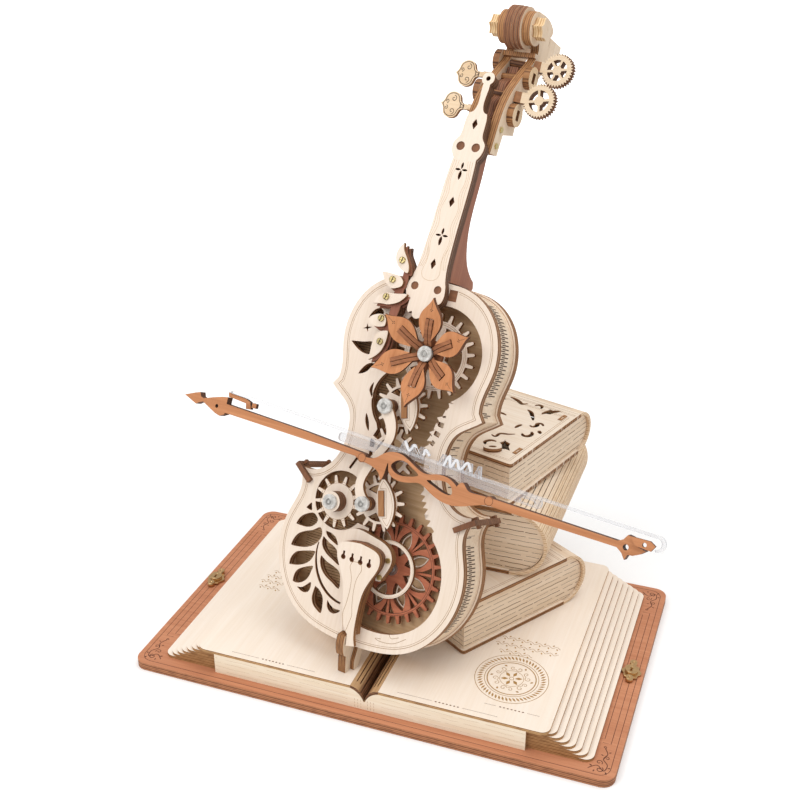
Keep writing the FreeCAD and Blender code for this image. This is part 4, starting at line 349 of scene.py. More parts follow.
# Darkest line: engraved marks, and painted shade in the screw slots and in the hinge slits
line_dark_and_slot_shade = ink("line_dark_and_slot_shade", srgb(76, 48, 30))
line_red = ink("line_red", srgb(98, 54, 34))
line_gold = ink("line_gold", srgb(174, 132, 70), 0.15)


# Pieces made here: each rides on a body of the frame

def mesh_of(name, corners, faces):
    mesh = bpy.data.meshes.new(name)
    mesh.from_pydata(corners, [], faces)
    return mesh


def add_piece(name, mesh, material, body="base"):
    mesh.materials.clear()
    mesh.materials.append(material)
    piece = bpy.data.objects.new(name, mesh)
    bpy.context.scene.collection.objects.link(piece)
    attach(piece, body)
    return piece


# Thin engraved lines and cuts, drawn in the planes of the sheets

class Engraving:
    """Burnt marks on one plane, and dark marks of painted shade in slots, gathered into one thin piece.
    Points are in millimetres.
    """

    def __init__(self, at):
        self.at = at
        self.corners = []
        self.faces = []

    def patch(self, *corners):
        first = len(self.corners)
        self.corners.extend(tuple(self.at @ (Vector(c) * MM)) for c in corners)
        self.faces.append(tuple(range(first, first + len(corners))))

    def stroke(self, points, z, width=0.25, closed=False):
        """Flat line through points at a height."""
        sides = beside(points, [width] * len(points), closed)
        for one, two in zip(sides, sides[1:] + (sides[:1] if closed else [])):
            self.patch((*one[0], z), (*two[0], z), (*two[1], z), (*one[1], z))

    def circle(self, at, radius, z, width=0.25, start=0.0, end=360.0):
        count = max(8, int(radius * (end - start) / 30))
        points = [polar(at, radius, start + (end - start) * k / count) for k in range(count + 1)]
        self.stroke(points, z, width)

    def curl(self, at, radius, start, hand, z, width=0.25, turn=400.0):
        """Spiral that closes on its middle."""
        parts = [k / 24.0 for k in range(25)]
        points = [polar(at, radius * (1 - 0.82 * part), start + hand * turn * part) for part in parts]
        self.stroke(points, z, width)

    def leaf(self, at, length, heading, z, fat=0.22):
        """Small filled leaf from a point."""
        tip = polar(at, length, heading)
        middle = polar(at, length * 0.5, heading)
        one = polar(middle, length * fat, heading - 90)
        two = polar(middle, length * fat, heading + 90)
        self.patch((*at, z), (*one, z), (*tip, z), (*two, z))

    def cut(self, at, along, low, high, width):
        """Upright mark on a wall that stands on the plane; along is the wall's direction."""
        ax, ay = along[0] * width / 2, along[1] * width / 2
        self.patch((at[0] - ax, at[1] - ay, low), (at[0] + ax, at[1] + ay, low),
                   (at[0] + ax, at[1] + ay, high), (at[0] - ax, at[1] - ay, high))

    def place(self, name, material, body="base", slot="cream_wood"):
        add_piece(name, mesh_of(name, self.corners, self.faces), material, body)


def beside(path, widths, closed=False):
    """Points to the right and to the left of a path, half its width away."""
    count = len(path)
    result = []
    for k, ((x, y), width) in enumerate(zip(path, widths)):
        before = path[k - 1] if k or closed else path[0]
        after = path[(k + 1) % count] if k < count - 1 or closed else path[-1]
        dx, dy = after[0] - before[0], after[1] - before[1]
        size = math.hypot(dx, dy) or 1.0
        sx, sy = -dy / size * width / 2, dx / size * width / 2
        result.append(((x - sx, y - sy), (x + sx, y + sy)))
    return result


def polar(at, radius, degrees):
    turn = math.radians(degrees)
    return (at[0] + radius * math.cos(turn), at[1] + radius * math.sin(turn))


def boundary(name, at, level, step=0.8):
    """Outlines of a node's upward face at a height on a plane, longest first, the sheet on their left."""
    inverse = at.inverted()
    normal = at.to_3x3() @ Vector((0, 0, 1))
    mesh = nodes[name].data
    points = [inverse @ v.co / MM for v in mesh.vertices]
    keys = [(round(p.x, 3), round(p.y, 3)) for p in points]
    edges = {}
    for polygon in mesh.polygons:
        corners = list(polygon.vertices)
        if polygon.normal.dot(normal) < 0.99 or any(abs(points[c].z - level) > 0.03 for c in corners):
            continue
        for one, two in around(corners):
            a, b = keys[one], keys[two]
            if (b, a) in edges:
                del edges[(b, a)]
            else:
                edges[(a, b)] = True
    follow = {}
    for a, b in edges:
        follow.setdefault(a, []).append(b)
    loops = []
    while follow:
        start = next(iter(follow))
        loop = [start]
        here = start
        while here in follow:
            there = follow[here].pop()
            if not follow[here]:
                del follow[here]
            if there == start:
                break
            loop.append(there)
            here = there
        if len(loop) > 2:
            loops.append(refined(loop, step))
    loops.sort(key=length_of, reverse=True)
    return loops


def around(loop):
    """Each point of an outline with the next one."""
    return zip(loop, loop[1:] + loop[:1])


def length_of(loop):
    return sum(math.dist(a, b) for a, b in around(loop))


def refined(loop, step):
    """Outline with its long straights divided."""
    result = []
    for a, b in around(loop):
        parts = max(1, int(math.ceil(math.dist(a, b) / step)))
        result += [(a[0] + (b[0] - a[0]) * k / parts, a[1] + (b[1] - a[1]) * k / parts) for k in range(parts)]
    return result


def clearance(point, loop):
    """Distance from a point to an outline's nearest edge."""
    x, y = point
    best = 1e9
    for (ax, ay), (bx, by) in around(loop):
        if abs(ax - x) > best + 2 or abs(ay - y) > best + 2:
            continue
        dx, dy = bx - ax, by - ay
        size = dx * dx + dy * dy or 1e-9
        part = min(1.0, max(0.0, ((x - ax) * dx + (y - ay) * dy) / size))
        best = min(best, math.hypot(x - ax - part * dx, y - ay - part * dy))
    return best


def inside(point, loops):
    """Whether a point lies on the sheet that the outlines bound."""
    x, y = point
    odd = False
    for loop in loops:
        for (ax, ay), (bx, by) in around(loop):
            if (ay > y) != (by > y) and x < ax + (y - ay) / (by - ay) * (bx - ax):
                odd = not odd
    return odd


# Points further apart than this belong to separate runs
RUN_GAP = 2.6


def inset_runs(loop, distance, loops, margin=0.35):
    """Runs of points at a distance inside an outline, where they lie on the sheet."""
    moved = []
    count = len(loop)
    for k in range(count):
        (ax, ay), (x, y), (bx, by) = loop[k - 1], loop[k], loop[(k + 1) % count]
        one = math.atan2(y - ay, x - ax)
        two = math.atan2(by - y, bx - x)
        bend = (two - one + math.pi) % (2 * math.pi) - math.pi
        reach = distance / max(0.4, math.cos(bend / 2))
        heading = one + bend / 2 + math.pi / 2
        moved.append((x + reach * math.cos(heading), y + reach * math.sin(heading)))
    others = [other for other in loops if other is not loop]
    kept = []
    for point in moved:
        good = clearance(point, loop) > distance * 0.97 and inside(point, loops)
        if good and all(clearance(point, other) > margin for other in others):
            kept.append(point)
    runs = []
    for point in kept:
        if runs and math.dist(runs[-1][-1], point) < RUN_GAP:
            runs[-1].append(point)
        else:
            runs.append([point])
    if len(runs) > 1 and math.dist(runs[-1][-1], runs[0][0]) < RUN_GAP:
        runs[0] = runs.pop() + runs[0]
    elif len(runs) == 1 and math.dist(runs[0][-1], runs[0][0]) < RUN_GAP:
        runs[0].append(runs[0][0])
    return [run for run in runs if len(run) > 3]


def trace_edge(lines, node, level, *rows):
    """Lines that follow a sheet's outer outline; a row is a distance inside the edge and a width."""
    loops = boundary(node, lines.at, level)
    for distance, width in rows:
        for run in inset_runs(loops[0], distance, loops):
            lines.stroke(run, level + LIFT, width)


def smooth(points, parts=6):
    """Catmull-Rom curve through points."""
    ends = [points[0]] + list(points) + [points[-1]]
    result = []
    for a, b, c, d in zip(ends, ends[1:], ends[2:], ends[3:]):
        for k in range(parts):
            t = k / parts
            result.append(tuple(0.5 * (2 * q + (r - p) * t + (2 * p - 5 * q + 4 * r - s) * t * t
                                       + (3 * q - p - 3 * r + s) * t ** 3) for p, q, r, s in zip(a, b, c, d)))
    return result + [points[-1]]


def closed(points):
    """Smooth outline through points."""
    return smooth(list(points) + [points[0]], 4)[:-1]


def between(start, end, bulge, parts=10):
    """Arc from one point to another, standing off by a bulge on its left."""
    dx, dy = end[0] - start[0], end[1] - start[1]
    result = []
    for k in range(parts):
        t = k / parts
        off = bulge * 4 * t * (1 - t) / (math.hypot(dx, dy) or 1)
        result.append((start[0] + dx * t - dy * off, start[1] + dy * t + dx * off))
    return result


def lens(one, two, bulge, parts=10):
    return between(one, two, bulge, parts) + between(two, one, bulge, parts)


def ribbon(points, width, taper=0.65):
    """Outline of a curved band whose ends are narrower by a part of its width."""
    path = smooth(points, 5)
    last = len(path) - 1
    widths = [width * (1 - taper + taper * math.sin(math.pi * k / last)) for k in range(last + 1)]
    right, left = zip(*beside(path, widths))
    return list(left + right[::-1])


def rectangle(x, y, half_x, half_y):
    left, right, near, far = x - half_x, x + half_x, y - half_y, y + half_y
    return [(left, near), (right, near), (right, far), (left, far)]


def ring(at, radius, parts):
    return [polar(at, radius, 360 // parts * k) for k in range(parts)]


# Sheets cut again with finer openings than the CAD's

def cut_sheet(name, at, low, high, outlines, material, body="base", stands_for=()):
    """Flat sheet between two heights; the outlines inside another one are openings."""
    curve = bpy.data.curves.new(name, "CURVE")
    curve.dimensions = "2D"
    curve.fill_mode = "BOTH"
    curve.extrude = (high - low) / 2
    for outline in outlines:
        spline = curve.splines.new("POLY")
        spline.points.add(len(outline) - 1)
        for point, (x, y) in zip(spline.points, outline):
            point.co = (x, y, 0, 1)
        spline.use_cyclic_u = True
    shape = bpy.data.objects.new(name + "_outline", curve)
    bpy.context.scene.collection.objects.link(shape)
    mesh = bpy.data.meshes.new_from_object(shape.evaluated_get(bpy.context.evaluated_depsgraph_get()))
    bpy.data.objects.remove(shape)
    mesh.transform(Matrix.Translation((0, 0, (low + high) / 2)))
    solid = bmesh.new()
    solid.from_mesh(mesh)
    bmesh.ops.remove_doubles(solid, verts=solid.verts, dist=0.002)
    bmesh.ops.recalc_face_normals(solid, faces=solid.faces)
    solid.to_mesh(mesh)
    solid.free()
    mesh.transform(at @ Matrix.Scale(MM, 4))
    mesh.name = name
    piece = add_piece(name, mesh, material, body)
    if stands_for:
        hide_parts(*stands_for)


# Leaf openings left of the tailpiece, each from its pointed tip round and back
LEAVES = (
    ((-41.2, -42.4), (-39.5, -38.7), (-36.4, -36.2), (-32.7, -35.0), (-30.0, -37.6), (-31.6, -40.6),
     (-35.3, -42.3)),
    ((-41.3, -52.7), (-40.6, -49.7), (-38.7, -46.5), (-35.1, -44.2), (-31.6, -42.8), (-27.9, -40.4),
     (-26.1, -43.0), (-26.8, -46.2), (-29.1, -49.2), (-32.9, -51.3), (-37.6, -52.4)),
    ((-39.9, -61.6), (-39.8, -58.6), (-38.2, -55.6), (-35.5, -53.9), (-28.2, -51.8), (-27.9, -53.6),
     (-28.8, -56.1), (-31.0, -58.5), (-34.8, -60.5)),
    ((-35.9, -68.7), (-36.0, -66.6), (-35.5, -64.0), (-33.4, -61.6), (-27.4, -58.7), (-27.3, -61.1),
     (-28.3, -64.7), (-30.4, -67.2), (-33.2, -68.6)),
    ((-33.2, -70.3), (-30.4, -69.8), (-28.1, -67.8), (-26.4, -66.2), (-25.8, -67.7), (-26.2, -70.2),
     (-27.9, -71.6), (-30.4, -71.6)),
    ((-23.5, -67.0), (-20.8, -68.2), (-18.4, -70.7), (-17.5, -74.3), (-17.5, -78.2), (-20.2, -77.3),
     (-22.5, -75.7), (-23.9, -72.9), (-23.9, -69.7)),
    ((-15.5, -71.2), (-13.7, -72.8), (-11.3, -73.9), (-7.9, -73.9), (-10.1, -76.0), (-12.8, -76.2),
     (-14.7, -74.8), (-15.5, -72.8)),
    ((-24.5, -41.0), (-21.3, -41.3), (-18.5, -42.7), (-16.8, -45.7), (-19.7, -44.9), (-22.2, -43.8),
     (-23.9, -42.4)),
    ((-25.2, -43.7), (-21.9, -45.5), (-18.3, -46.9), (-15.8, -49.0), (-13.6, -54.2), (-17.6, -52.9),
     (-21.7, -51.1), (-24.4, -48.6), (-25.3, -46.2)),
    ((-24.1, -52.5), (-20.5, -54.4), (-16.8, -55.4), (-13.6, -56.6), (-11.9, -58.9), (-11.1, -64.6),
     (-15.5, -62.9), (-19.7, -61.0), (-22.7, -58.2), (-24.1, -54.9)),
    ((-37.7, -33.7), (-36.6, -32.0), (-35.3, -30.7), (-34.7, -32.4), (-34.3, -34.1), (-35.8, -34.1)),
)
# Claws, crescent and star left of the flower
CLAWS = (
    ((-34.2, 46.6), (-31.0, 47.0), (-27.2, 47.5), (-23.2, 48.3), (-22.9, 45.4), (-23.1, 42.6), (-25.8, 42.3),
     (-28.6, 43.0), (-31.6, 44.6)),
    ((-26.8, 32.6), (-25.6, 35.2), (-23.4, 37.8), (-21.2, 38.9), (-19.6, 38.7), (-20.8, 37.2), (-22.2, 35.0),
     (-24.4, 33.4)),
    ((-28.0, 58.2), (-27.2, 60.6), (-25.4, 63.0), (-23.0, 63.9), (-20.9, 62.7), (-21.0, 60.0), (-21.9, 57.6),
     (-24.4, 58.4)),
    ((-17.6, 30.9), (-18.8, 28.8), (-19.0, 26.4), (-16.6, 23.4), (-17.4, 26.8)),
)
STAR = (-27.4, 54.0)
# Spots near the inner edge of the body where small saw teeth stand, above the waist and below it
SAW = ((22.6, 29.4), (21.2, 26.0), (19.6, 22.6), (18.3, 19.1), (17.1, 15.7), (16.0, 12.3), (15.4, 8.8),
       (19.2, -10.8), (20.4, -13.6), (21.9, -16.4), (23.2, -18.9), (24.6, -21.2), (26.0, -23.6))


def is_leaf(loop):
    """Whether an opening is one of the leaves that are drawn again; the long stem is kept."""
    middle = (sum(p[0] for p in loop) / len(loop), sum(p[1] for p in loop) / len(loop))
    if -36 < middle[0] < -18 and 24 < middle[1] < 66 and length_of(loop) < 30:
        return True
    stem = length_of(loop) > 60 and abs(middle[0] + 21.0) < 3.5 and max(p[0] for p in loop) > -9.5
    return middle[0] < -9 and middle[1] < -29 and length_of(loop) < 200 and not stem


def saw_tooth(loop, spot):
    """Small pointed tooth on the opening's edge nearest a spot."""
    k = min(range(len(loop)), key=lambda i: math.dist(loop[i], spot))
    (ax, ay), (x, y), (bx, by) = loop[k - 1], loop[k], loop[(k + 1) % len(loop)]
    size = math.hypot(bx - ax, by - ay)
    tx, ty = (bx - ax) / size, (by - ay) / size
    ox, oy = ty, -tx
    if ox * (spot[0] + 10 - x) > 0 and ox > 0:
        ox, oy = -ox, -oy
    foot = [(x + side * tx - 0.4 * ox, y + side * ty - 0.4 * oy) for side in (-1.5, 1.5)]
    return foot + [(x + 1.9 * ox, y + 1.9 * oy - 0.5)]


def cut_front():
    """Front plate and its backing, each leaf with an opening of its own."""
    openings = [closed(points) for points in LEAVES + CLAWS]
    openings.append([polar(STAR, 0.6 if k % 2 else 2.7, 18 + 45 * k) for k in range(8)])
    backing = plywood("backing", CREAM_WARM, BURNT, CELLO, along="y")
    for node, level, slot, material in (("front_plate", 0.0, "cream_wood", cello_cream),
                                        ("front_backing", BACKING_FACE, "brown_wood", backing)):
        kept = [loop for loop in boundary(node, CELLO, level) if not is_leaf(loop) and length_of(loop) > 6]
        cut_sheet(node.replace("front", "face"), CELLO, level - SHEET, level, kept + openings, material,
                  stands_for=(node,))
    inner = boundary("front_plate", CELLO, 0.0)[1]
    teeth = [saw_tooth(inner, spot) for spot in SAW]
    cut_sheet("face_saw", CELLO, -SHEET + LIFT, -LIFT, teeth, cello_cream)
    cut_sheet("face_tenon", CELLO, -SHEET, LIFT, boundary("front_backing", CELLO, 0.0),
              plywood("tenon_brown", UMBER, BURNT_DEEP, CELLO))


# Foot of the fingerboard between its two lobes, from left to right
BOARD_FOOT = ((-9.0, -1.0), (-9.7, -4.0), (-8.6, -7.6), (-6.4, -9.4), (-6.3, -13.4), (-5.2, -15.2),
              (-3.6, -14.4), (-2.6, -16.6), (-0.6, -17.4), (2.0, -15.8), (4.2, -12.4), (6.8, -10.0),
              (9.0, -8.4), (9.7, -5.0), (9.0, -1.0))


def cut_board():
    """Face of the fingerboard with its foot filled between the two lobes."""
    outer, *holes = boundary("fingerboard", BOARD, 0.0)
    low = BOARD_FOOT[0][1]
    first = next(k for k in range(len(outer)) if outer[k - 1][1] < low <= outer[k][1])
    upper = [p for p in outer[first:] + outer[:first] if p[1] >= low]
    foot = smooth(BOARD_FOOT, 4)
    if upper[-1][0] > 0:
        foot = foot[::-1]
    cut_sheet("board_face", BOARD, -SHEET, 0.0, [upper + foot] + holes,
              plywood("board_cream", CREAM, BURNT_DEEP, BOARD, along="y"), stands_for=("fingerboard",))


ROSETTE_PHASE = 30.0


def cut_rosette():
    """Gear pierced like a rose window, over thin pale rings that stand for the lit cut edge of a lower layer,
    a painted highlight.
    """
    def spoke(turn, *radii):
        return [polar(ROSETTE, radius, turn) for radius in radii]
    loops = boundary("rosette_gear", CELLO, ROSETTE_FACE)
    windows = [loop for loop in loops if length_of(loop) < 12]
    highlight_rings = []
    for k in range(8):
        turn = ROSETTE_PHASE + 45 * k
        windows.append(lens(*spoke(turn, 6.2, 19.6), 3.1))
        for side in (-1, 1):
            start = polar(ROSETTE, 10.6, turn + side * 20.5)
            end = polar(ROSETTE, 20.0, turn + side * 12.0)
            rim = polar(ROSETTE, 20.0, turn + side * 20.8)
            shape = between(start, end, side * 0.8) + between(end, rim, 0.0, 4) + between(rim, start, 0.0, 4)
            windows.append(shape if side > 0 else shape[::-1])
        # Thin pale rings under each window: painted highlight of a lower layer's lit cut edge
        highlight_rings += [lens(*spoke(turn, 7.6, 18.2), 2.3, 14), lens(*spoke(turn, 8.6, 17.4), 1.75, 14)]
    red = plywood("rosette_red", ROSETTE_RED, tones(168, 106, 78, 92, 54, 38), CELLO)
    cut_sheet("rosette_window", CELLO, ROSETTE_FACE - SHEET, ROSETTE_FACE, [loops[0]] + windows, red,
              "rosette", ("rosette_gear",))
    cut_sheet("rosette_highlight_rings", CELLO, ROSETTE_FACE - 2.9, ROSETTE_FACE - 2.1, highlight_rings, cello_cream,
              "rosette")


def turned_piece(name, at, profile, material, body, parts=40):
    """Round piece from a profile of radius and height."""
    corners = []
    for radius, height in profile:
        for k in range(parts):
            x, y = polar((0, 0), radius, 360.0 * k / parts)
            corners.append(tuple(at @ (Vector((x, y, height)) * MM)))
    last = (len(profile) - 1) * parts
    faces = [(k + row, (k + 1) % parts + row, (k + 1) % parts + row + parts, k + row + parts)
             for row in range(0, last, parts) for k in range(parts)]
    faces.append(tuple(range(last, last + parts)))
    add_piece(name, mesh_of(name, corners, faces), material, body)


# Profiles of radius and height
WASHER = ((3.46, 0.0), (3.46, 1.5), (3.3, 1.66), (2.7, 1.66), (2.6, 1.63), (2.0, 1.63), (1.9, 1.9),
          (1.6, 1.95))
SCREW_HEAD = ((1.5, 1.62), (1.5, 2.1), (1.3, 2.3), (0.75, 2.3), (0.65, 1.8), (0.2, 1.75))


def add_caps():
    """Clear washers with small steel screws on the crank pins, the left hub and the flower."""
    clear = glazed("washer_clear", 500, srgb(176, 172, 166), srgb(224, 222, 218), 0.12, Coat_Weight=0.6)
    head = metal("cap_steel", srgb(168, 166, 162), 0.32)
    for name, body, (x, y), low in (("low", "crank_low", PIN_LOW, 8.1), ("up", "crank_up", PIN_UP, 8.1),
                                    ("left", "gear_left", GEAR_LEFT, 8.2), ("flower", "flower", FLOWER, 7.2)):
        at = CELLO @ plane((x, y, low))
        turned_piece("cap_washer_" + name, at, WASHER, clear, body)
        turned_piece("cap_screw_" + name, at, SCREW_HEAD, head, body)


# Leaves beside the fingerboard, from the top down, and the line on which their brown layers are joined
SPRIG = (
    ((-14.1, 94.3), (-15.8, 92.2), (-16.7, 89.3), (-16.5, 86.8), (-15.3, 84.6), (-13.5, 82.9), (-11.2, 81.8),
     (-9.1, 81.6), (-9.2, 84.1), (-10.4, 86.7), (-12.1, 89.2), (-13.6, 91.5)),
    ((-21.8, 80.0), (-19.0, 80.1), (-15.3, 79.9), (-12.6, 79.5), (-10.6, 77.8), (-10.4, 76.0), (-11.6, 74.7),
     (-15.2, 73.5), (-17.6, 74.5), (-19.8, 76.5)),
    ((-22.8, 65.4), (-21.6, 68.5), (-19.6, 70.1), (-17.1, 71.2), (-12.1, 71.6), (-7.1, 72.3), (-8.5, 69.8),
     (-11.1, 67.7), (-15.3, 66.2), (-19.0, 66.0)),
    ((-23.4, 57.9), (-22.0, 59.7), (-19.1, 61.1), (-16.4, 61.3), (-14.6, 59.7), (-14.3, 57.5), (-15.0, 56.3),
     (-18.5, 55.5), (-21.2, 56.1)),
    ((-18.9, 40.3), (-18.6, 43.5), (-18.7, 47.5), (-17.9, 51.4), (-16.2, 53.6), (-12.5, 54.7), (-12.0, 53.0),
     (-12.2, 49.3), (-13.5, 45.4), (-16.0, 42.4)),
)
SPRIG_STEM = ((-11.6, 85.5), (-10.8, 78.4), (-12.3, 73.7), (-12.3, 67.2), (-12.6, 63.1), (-13.8, 57.1),
              (-15.1, 50.0))


# Brown layers under a leaf, from the top down: height, and shift to the right and down
SPRIG_LAYERS = ((4.05, 0.9, -0.9), (2.05, 1.4, -1.6), (0.05, 1.0, -1.3))


def cut_sprig():
    """Pointed leaves, each over three brown layers that step down and to the right."""
    rosy = nodes["leaf_layers"].data.materials[0]
    for k, points in enumerate(SPRIG):
        outline = closed(points)
        cut_sheet("sprig_leaf_%d" % k, CELLO, 6.05, 8.05, [outline], cello_cream,
                  stands_for=() if k else ("leaves",))
        for layer, (low, dx, dy) in enumerate(SPRIG_LAYERS):
            cut_sheet("sprig_layer_%d_%d" % (k, layer), CELLO, low, low + 1.98,
                      [[(x + dx, y + dy) for x, y in outline]], rosy,
                      stands_for=() if k or layer else ("leaf_layers",))
    for layer in range(3):
        cut_sheet("sprig_stem_%d" % layer, CELLO, 0.06 + 2 * layer, 2.0 + 2 * layer,
                  [ribbon(SPRIG_STEM, 4.6)], rosy)


LEAF_SCREWS = ((-13.0, 86.6), (-15.6, 77.4), (-16.8, 69.4), (-16.8, 59.6), (-14.8, 49.4))


def slot_screws():
    # Dark strokes across the brass screw heads and thin dark rings at their rims: painted shade in the slots
    # and round the heads
    slots = Engraving(CELLO)
    top = LEAF_SCREW_FACE + LIFT
    for spot in LEAF_SCREWS:
        slots.stroke([polar(spot, 1.35, 75), polar(spot, 1.35, 255)], top, 0.5)
        slots.circle(spot, 1.42, top, 0.16)
    slots.place("screw_slots", line_dark_and_slot_shade, slot="brass")


# Zigzag of clear plastic over the strings
WAVES = (
    ((10.5, 10.2), (13.1, 6.7), (14.4, 7.5), (15.4, 9.5), (16.9, 7.7), (18.8, 5.9), (20.7, 6.4), (21.1, 8.8),
     (23.6, 6.7)),
    ((31.1, 4.3), (32.8, 9.1), (34.4, 4.7), (36.4, 8.3), (38.2, 5.3), (39.6, 5.2), (41.7, 8.4), (44.0, 5.1)),
)


def add_waves():
    white = glazed("wave_white", 300, srgb(232, 232, 236), srgb(246, 246, 248), 0.15, Alpha=0.85,
                   Coat_Weight=0.5)
    for k, points in enumerate(WAVES):
        cut_sheet("wave_%d" % k, CELLO, 10.65, 11.6, [ribbon(points, 1.0, 0.0)], white, "bow")


# Top book: cover pierced with scrollwork, a small ring and two tab ends

SCROLLS = (
    (2.3, ((58.9, 38.0), (58.3, 34.6), (57.2, 31.6), (55.6, 28.8), (58.0, 26.6))),
    (2.0, ((56.8, 18.6), (59.2, 19.4), (59.6, 21.6), (57.6, 22.6))),
    (2.2, ((52.0, 23.6), (50.6, 20.6), (47.4, 17.8), (43.6, 15.0))),
    (2.3, ((38.3, 14.0), (37.7, 11.8), (39.8, 10.7), (41.9, 11.4), (43.0, 9.8), (41.4, 7.9))),
    (2.3, ((29.2, 12.6), (27.4, 10.4), (28.4, 8.2), (31.4, 8.1), (33.2, 9.9))),
    (2.0, ((31.6, 17.9), (34.4, 17.7), (36.9, 16.9))),
    (1.8, ((19.4, 23.6), (18.6, 20.6), (22.4, 20.4), (24.2, 16.9), (26.4, 14.2))),
    (2.2, ((14.6, 17.4), (14.2, 20.2), (11.4, 21.6), (9.2, 20.0))),
    (2.0, ((36.4, 7.4), (35.0, 6.2), (33.7, 4.9))),
    (2.2, ((40.4, 28.4), (41.0, 32.0), (38.6, 34.4), (35.6, 33.2))),
    (2.0, ((26.0, 33.0), (23.0, 34.6), (21.2, 31.6), (23.2, 29.4))),
    (2.2, ((12.0, 36.2), (15.6, 38.0), (16.0, 41.6), (13.0, 43.4))),
    (2.2, ((29.0, 43.8), (32.4, 42.4), (35.6, 43.6), (38.4, 42.0))),
)
SPRAYS = (
    ((51.0, 15.3), (53.6, 16.0), (55.6, 15.4), (57.4, 14.9), (59.4, 15.2), (58.5, 12.7), (60.6, 10.8),
     (60.9, 8.2), (58.4, 9.7), (56.3, 11.0), (54.1, 11.7), (53.6, 13.7)),
    ((18.9, 15.4), (17.3, 13.4), (17.2, 11.2), (14.0, 10.2), (10.9, 7.4), (10.8, 9.8), (9.8, 12.2),
     (13.4, 13.5), (14.9, 16.0), (16.3, 14.9)),
    ((52.4, 43.8), (54.8, 43.0), (56.8, 45.2), (57.2, 42.0), (59.4, 40.8), (56.6, 39.8), (55.2, 37.4),
     (54.2, 40.0), (51.4, 40.6), (53.0, 42.0)),
)


def cut_cover():
    book, _, _, top = BOOKS["top"]
    sheet = nodes["book_top_covers"].data.materials[0]
    outer = boundary("book_top_covers", book, top)[0]
    holes = [ribbon(points, size) for size, points in SCROLLS] + [list(points) for points in SPRAYS]
    cut_sheet("book_top_cover_lace", book, top - SHEET, top, [outer] + holes, sheet,
              stands_for=("book_top_covers",))
    cut_sheet("book_top_cover_under", book, 0.0, SHEET, [outer], sheet)

    def oval(long, short):
        return [(6.4 + 0.53 * x * long + 0.85 * y * short, 14.2 - 0.85 * x * long + 0.53 * y * short)
                for x, y in ring((0, 0), 1.0, 24)]
    cut_sheet("book_top_ring", book, top, top + SHEET, [oval(4.3, 2.5), oval(1.9, 0.9)], sheet)
    tab = plywood("tab_end", tones(196, 148, 98, 150, 104, 64), BURNT_DEEP, book)
    for name, x, y in (("a", 12.6, 4.4), ("b", 54.4, 4.9)):
        cut_sheet("book_top_tab_" + name, book, top, top + 0.3,
                  [rectangle(x, y, 3.0, 1.0), rectangle(x, y, 1.5, 0.35)], tab)


CLASP_X = 109.2


def shape_clasps():
    bronze = nodes["clasps"].data.materials[0]
    base = 2 * SHEET
    for name, x in (("right", CLASP_X), ("left", -CLASP_X)):
        plate = []
        for k in range(72):
            turn = math.radians(5 * k)
            swell = 1 + 0.1 * math.cos(8 * turn) + 0.12 * math.cos(2 * turn) ** 2
            plate.append((x + 3.8 * swell * math.cos(turn), 4.9 * swell * math.sin(turn)))
        keyhole = [polar((x, 0.5), 0.75, 20 * k - 60) for k in range(16)] + [(x - 0.7, -1.9), (x + 0.7, -1.9)]
        cut_sheet("clasp_plate_" + name, TABLE, base, base + 1.5, [plate], bronze,
                  stands_for=("clasps",))
        cut_sheet("clasp_lock_" + name, TABLE, base + 1.5, base + 3.1, [ring((x, 0), 3.0, 36), keyhole],
                  bronze)
        for y in (-5.6, 5.6):
            cut_sheet("clasp_end_%s_%d" % (name, y > 0), TABLE, base, base + 2.6,
                      [ring((x, y), 1.7, 24), ring((x, y), 0.6, 12)], bronze)


# Base board: border lines with stepped ends, and scrolled leaves in the corners

SCROLL_SIZE = 1.15
CORNER_AT = (112.4, 69.9)
CORNER = 5.0


def engrave_base():
    top = 2 * SHEET + LIFT
    lines = Engraving(TABLE)
    for side in (-1, 1):
        for x, end, step in ((109.6, 50.0, 3.6), (106.4, 47.5, 3.6)):
            inner, outer = side * (x - step), side * x
            lines.stroke([(inner, -end), (outer, -end), (outer, end), (inner, end)], top)
    outline = []
    for sx, sy, start in ((1, 1, 0), (-1, 1, 90), (-1, -1, 180), (1, -1, 270)):
        middle = (sx * (CORNER_AT[0] - CORNER), sy * (CORNER_AT[1] - CORNER))
        outline += [polar(middle, CORNER, start + 15 * k) for k in range(7)]
    lines.stroke(refined(outline, 3.0), top, 0.25, True)
    for sx in (-1, 1):
        for sy in (-1, 1):
            corner_scroll(lines, (sx * 107.6, sy * 63.0), sx, sy, top)
    lines.place("base_lines", line_red, slot="red_wood")


def corner_scroll(lines, at, sx, sy, z):
    """Running scroll with leaves that fills a corner."""
    def spot(x, y):
        return (at[0] + sx * x * SCROLL_SIZE, at[1] + sy * y * SCROLL_SIZE)

    def heading(degrees):
        turn = math.radians(degrees)
        return math.degrees(math.atan2(sy * math.sin(turn), sx * math.cos(turn)))
    stem = ((-4.0, 3.6), (-1.0, 1.2), (1.8, 3.4), (2.6, 0.2), (0.6, -2.6), (1.6, -5.6), (0.2, -8.4))
    lines.stroke(smooth([spot(x, y) for x, y in stem]), z, 0.4)
    for x, y, radius, start, hand, width in ((0.2, 3.0, 1.7, -60, 1, 0.4), (-0.6, -0.6, 1.5, 30, -1, 0.36),
                                             (1.9, -3.4, 1.2, 160, 1, 0.34), (-0.1, -9.0, 0.8, 80, -1, 0.34)):
        lines.curl(spot(x, y), radius, heading(start), hand * sx * sy, z, width)
    for x, y, degrees, length in ((2.4, 3.6, 60, 1.8), (2.8, 1.6, -10, 1.6), (-2.6, 2.2, 210, 1.8),
                                  (-1.6, 3.6, 100, 1.6), (0.4, -4.4, 200, 1.5), (1.8, -6.4, -30, 1.4)):
        lines.leaf(spot(x, y), length, heading(degrees), z)


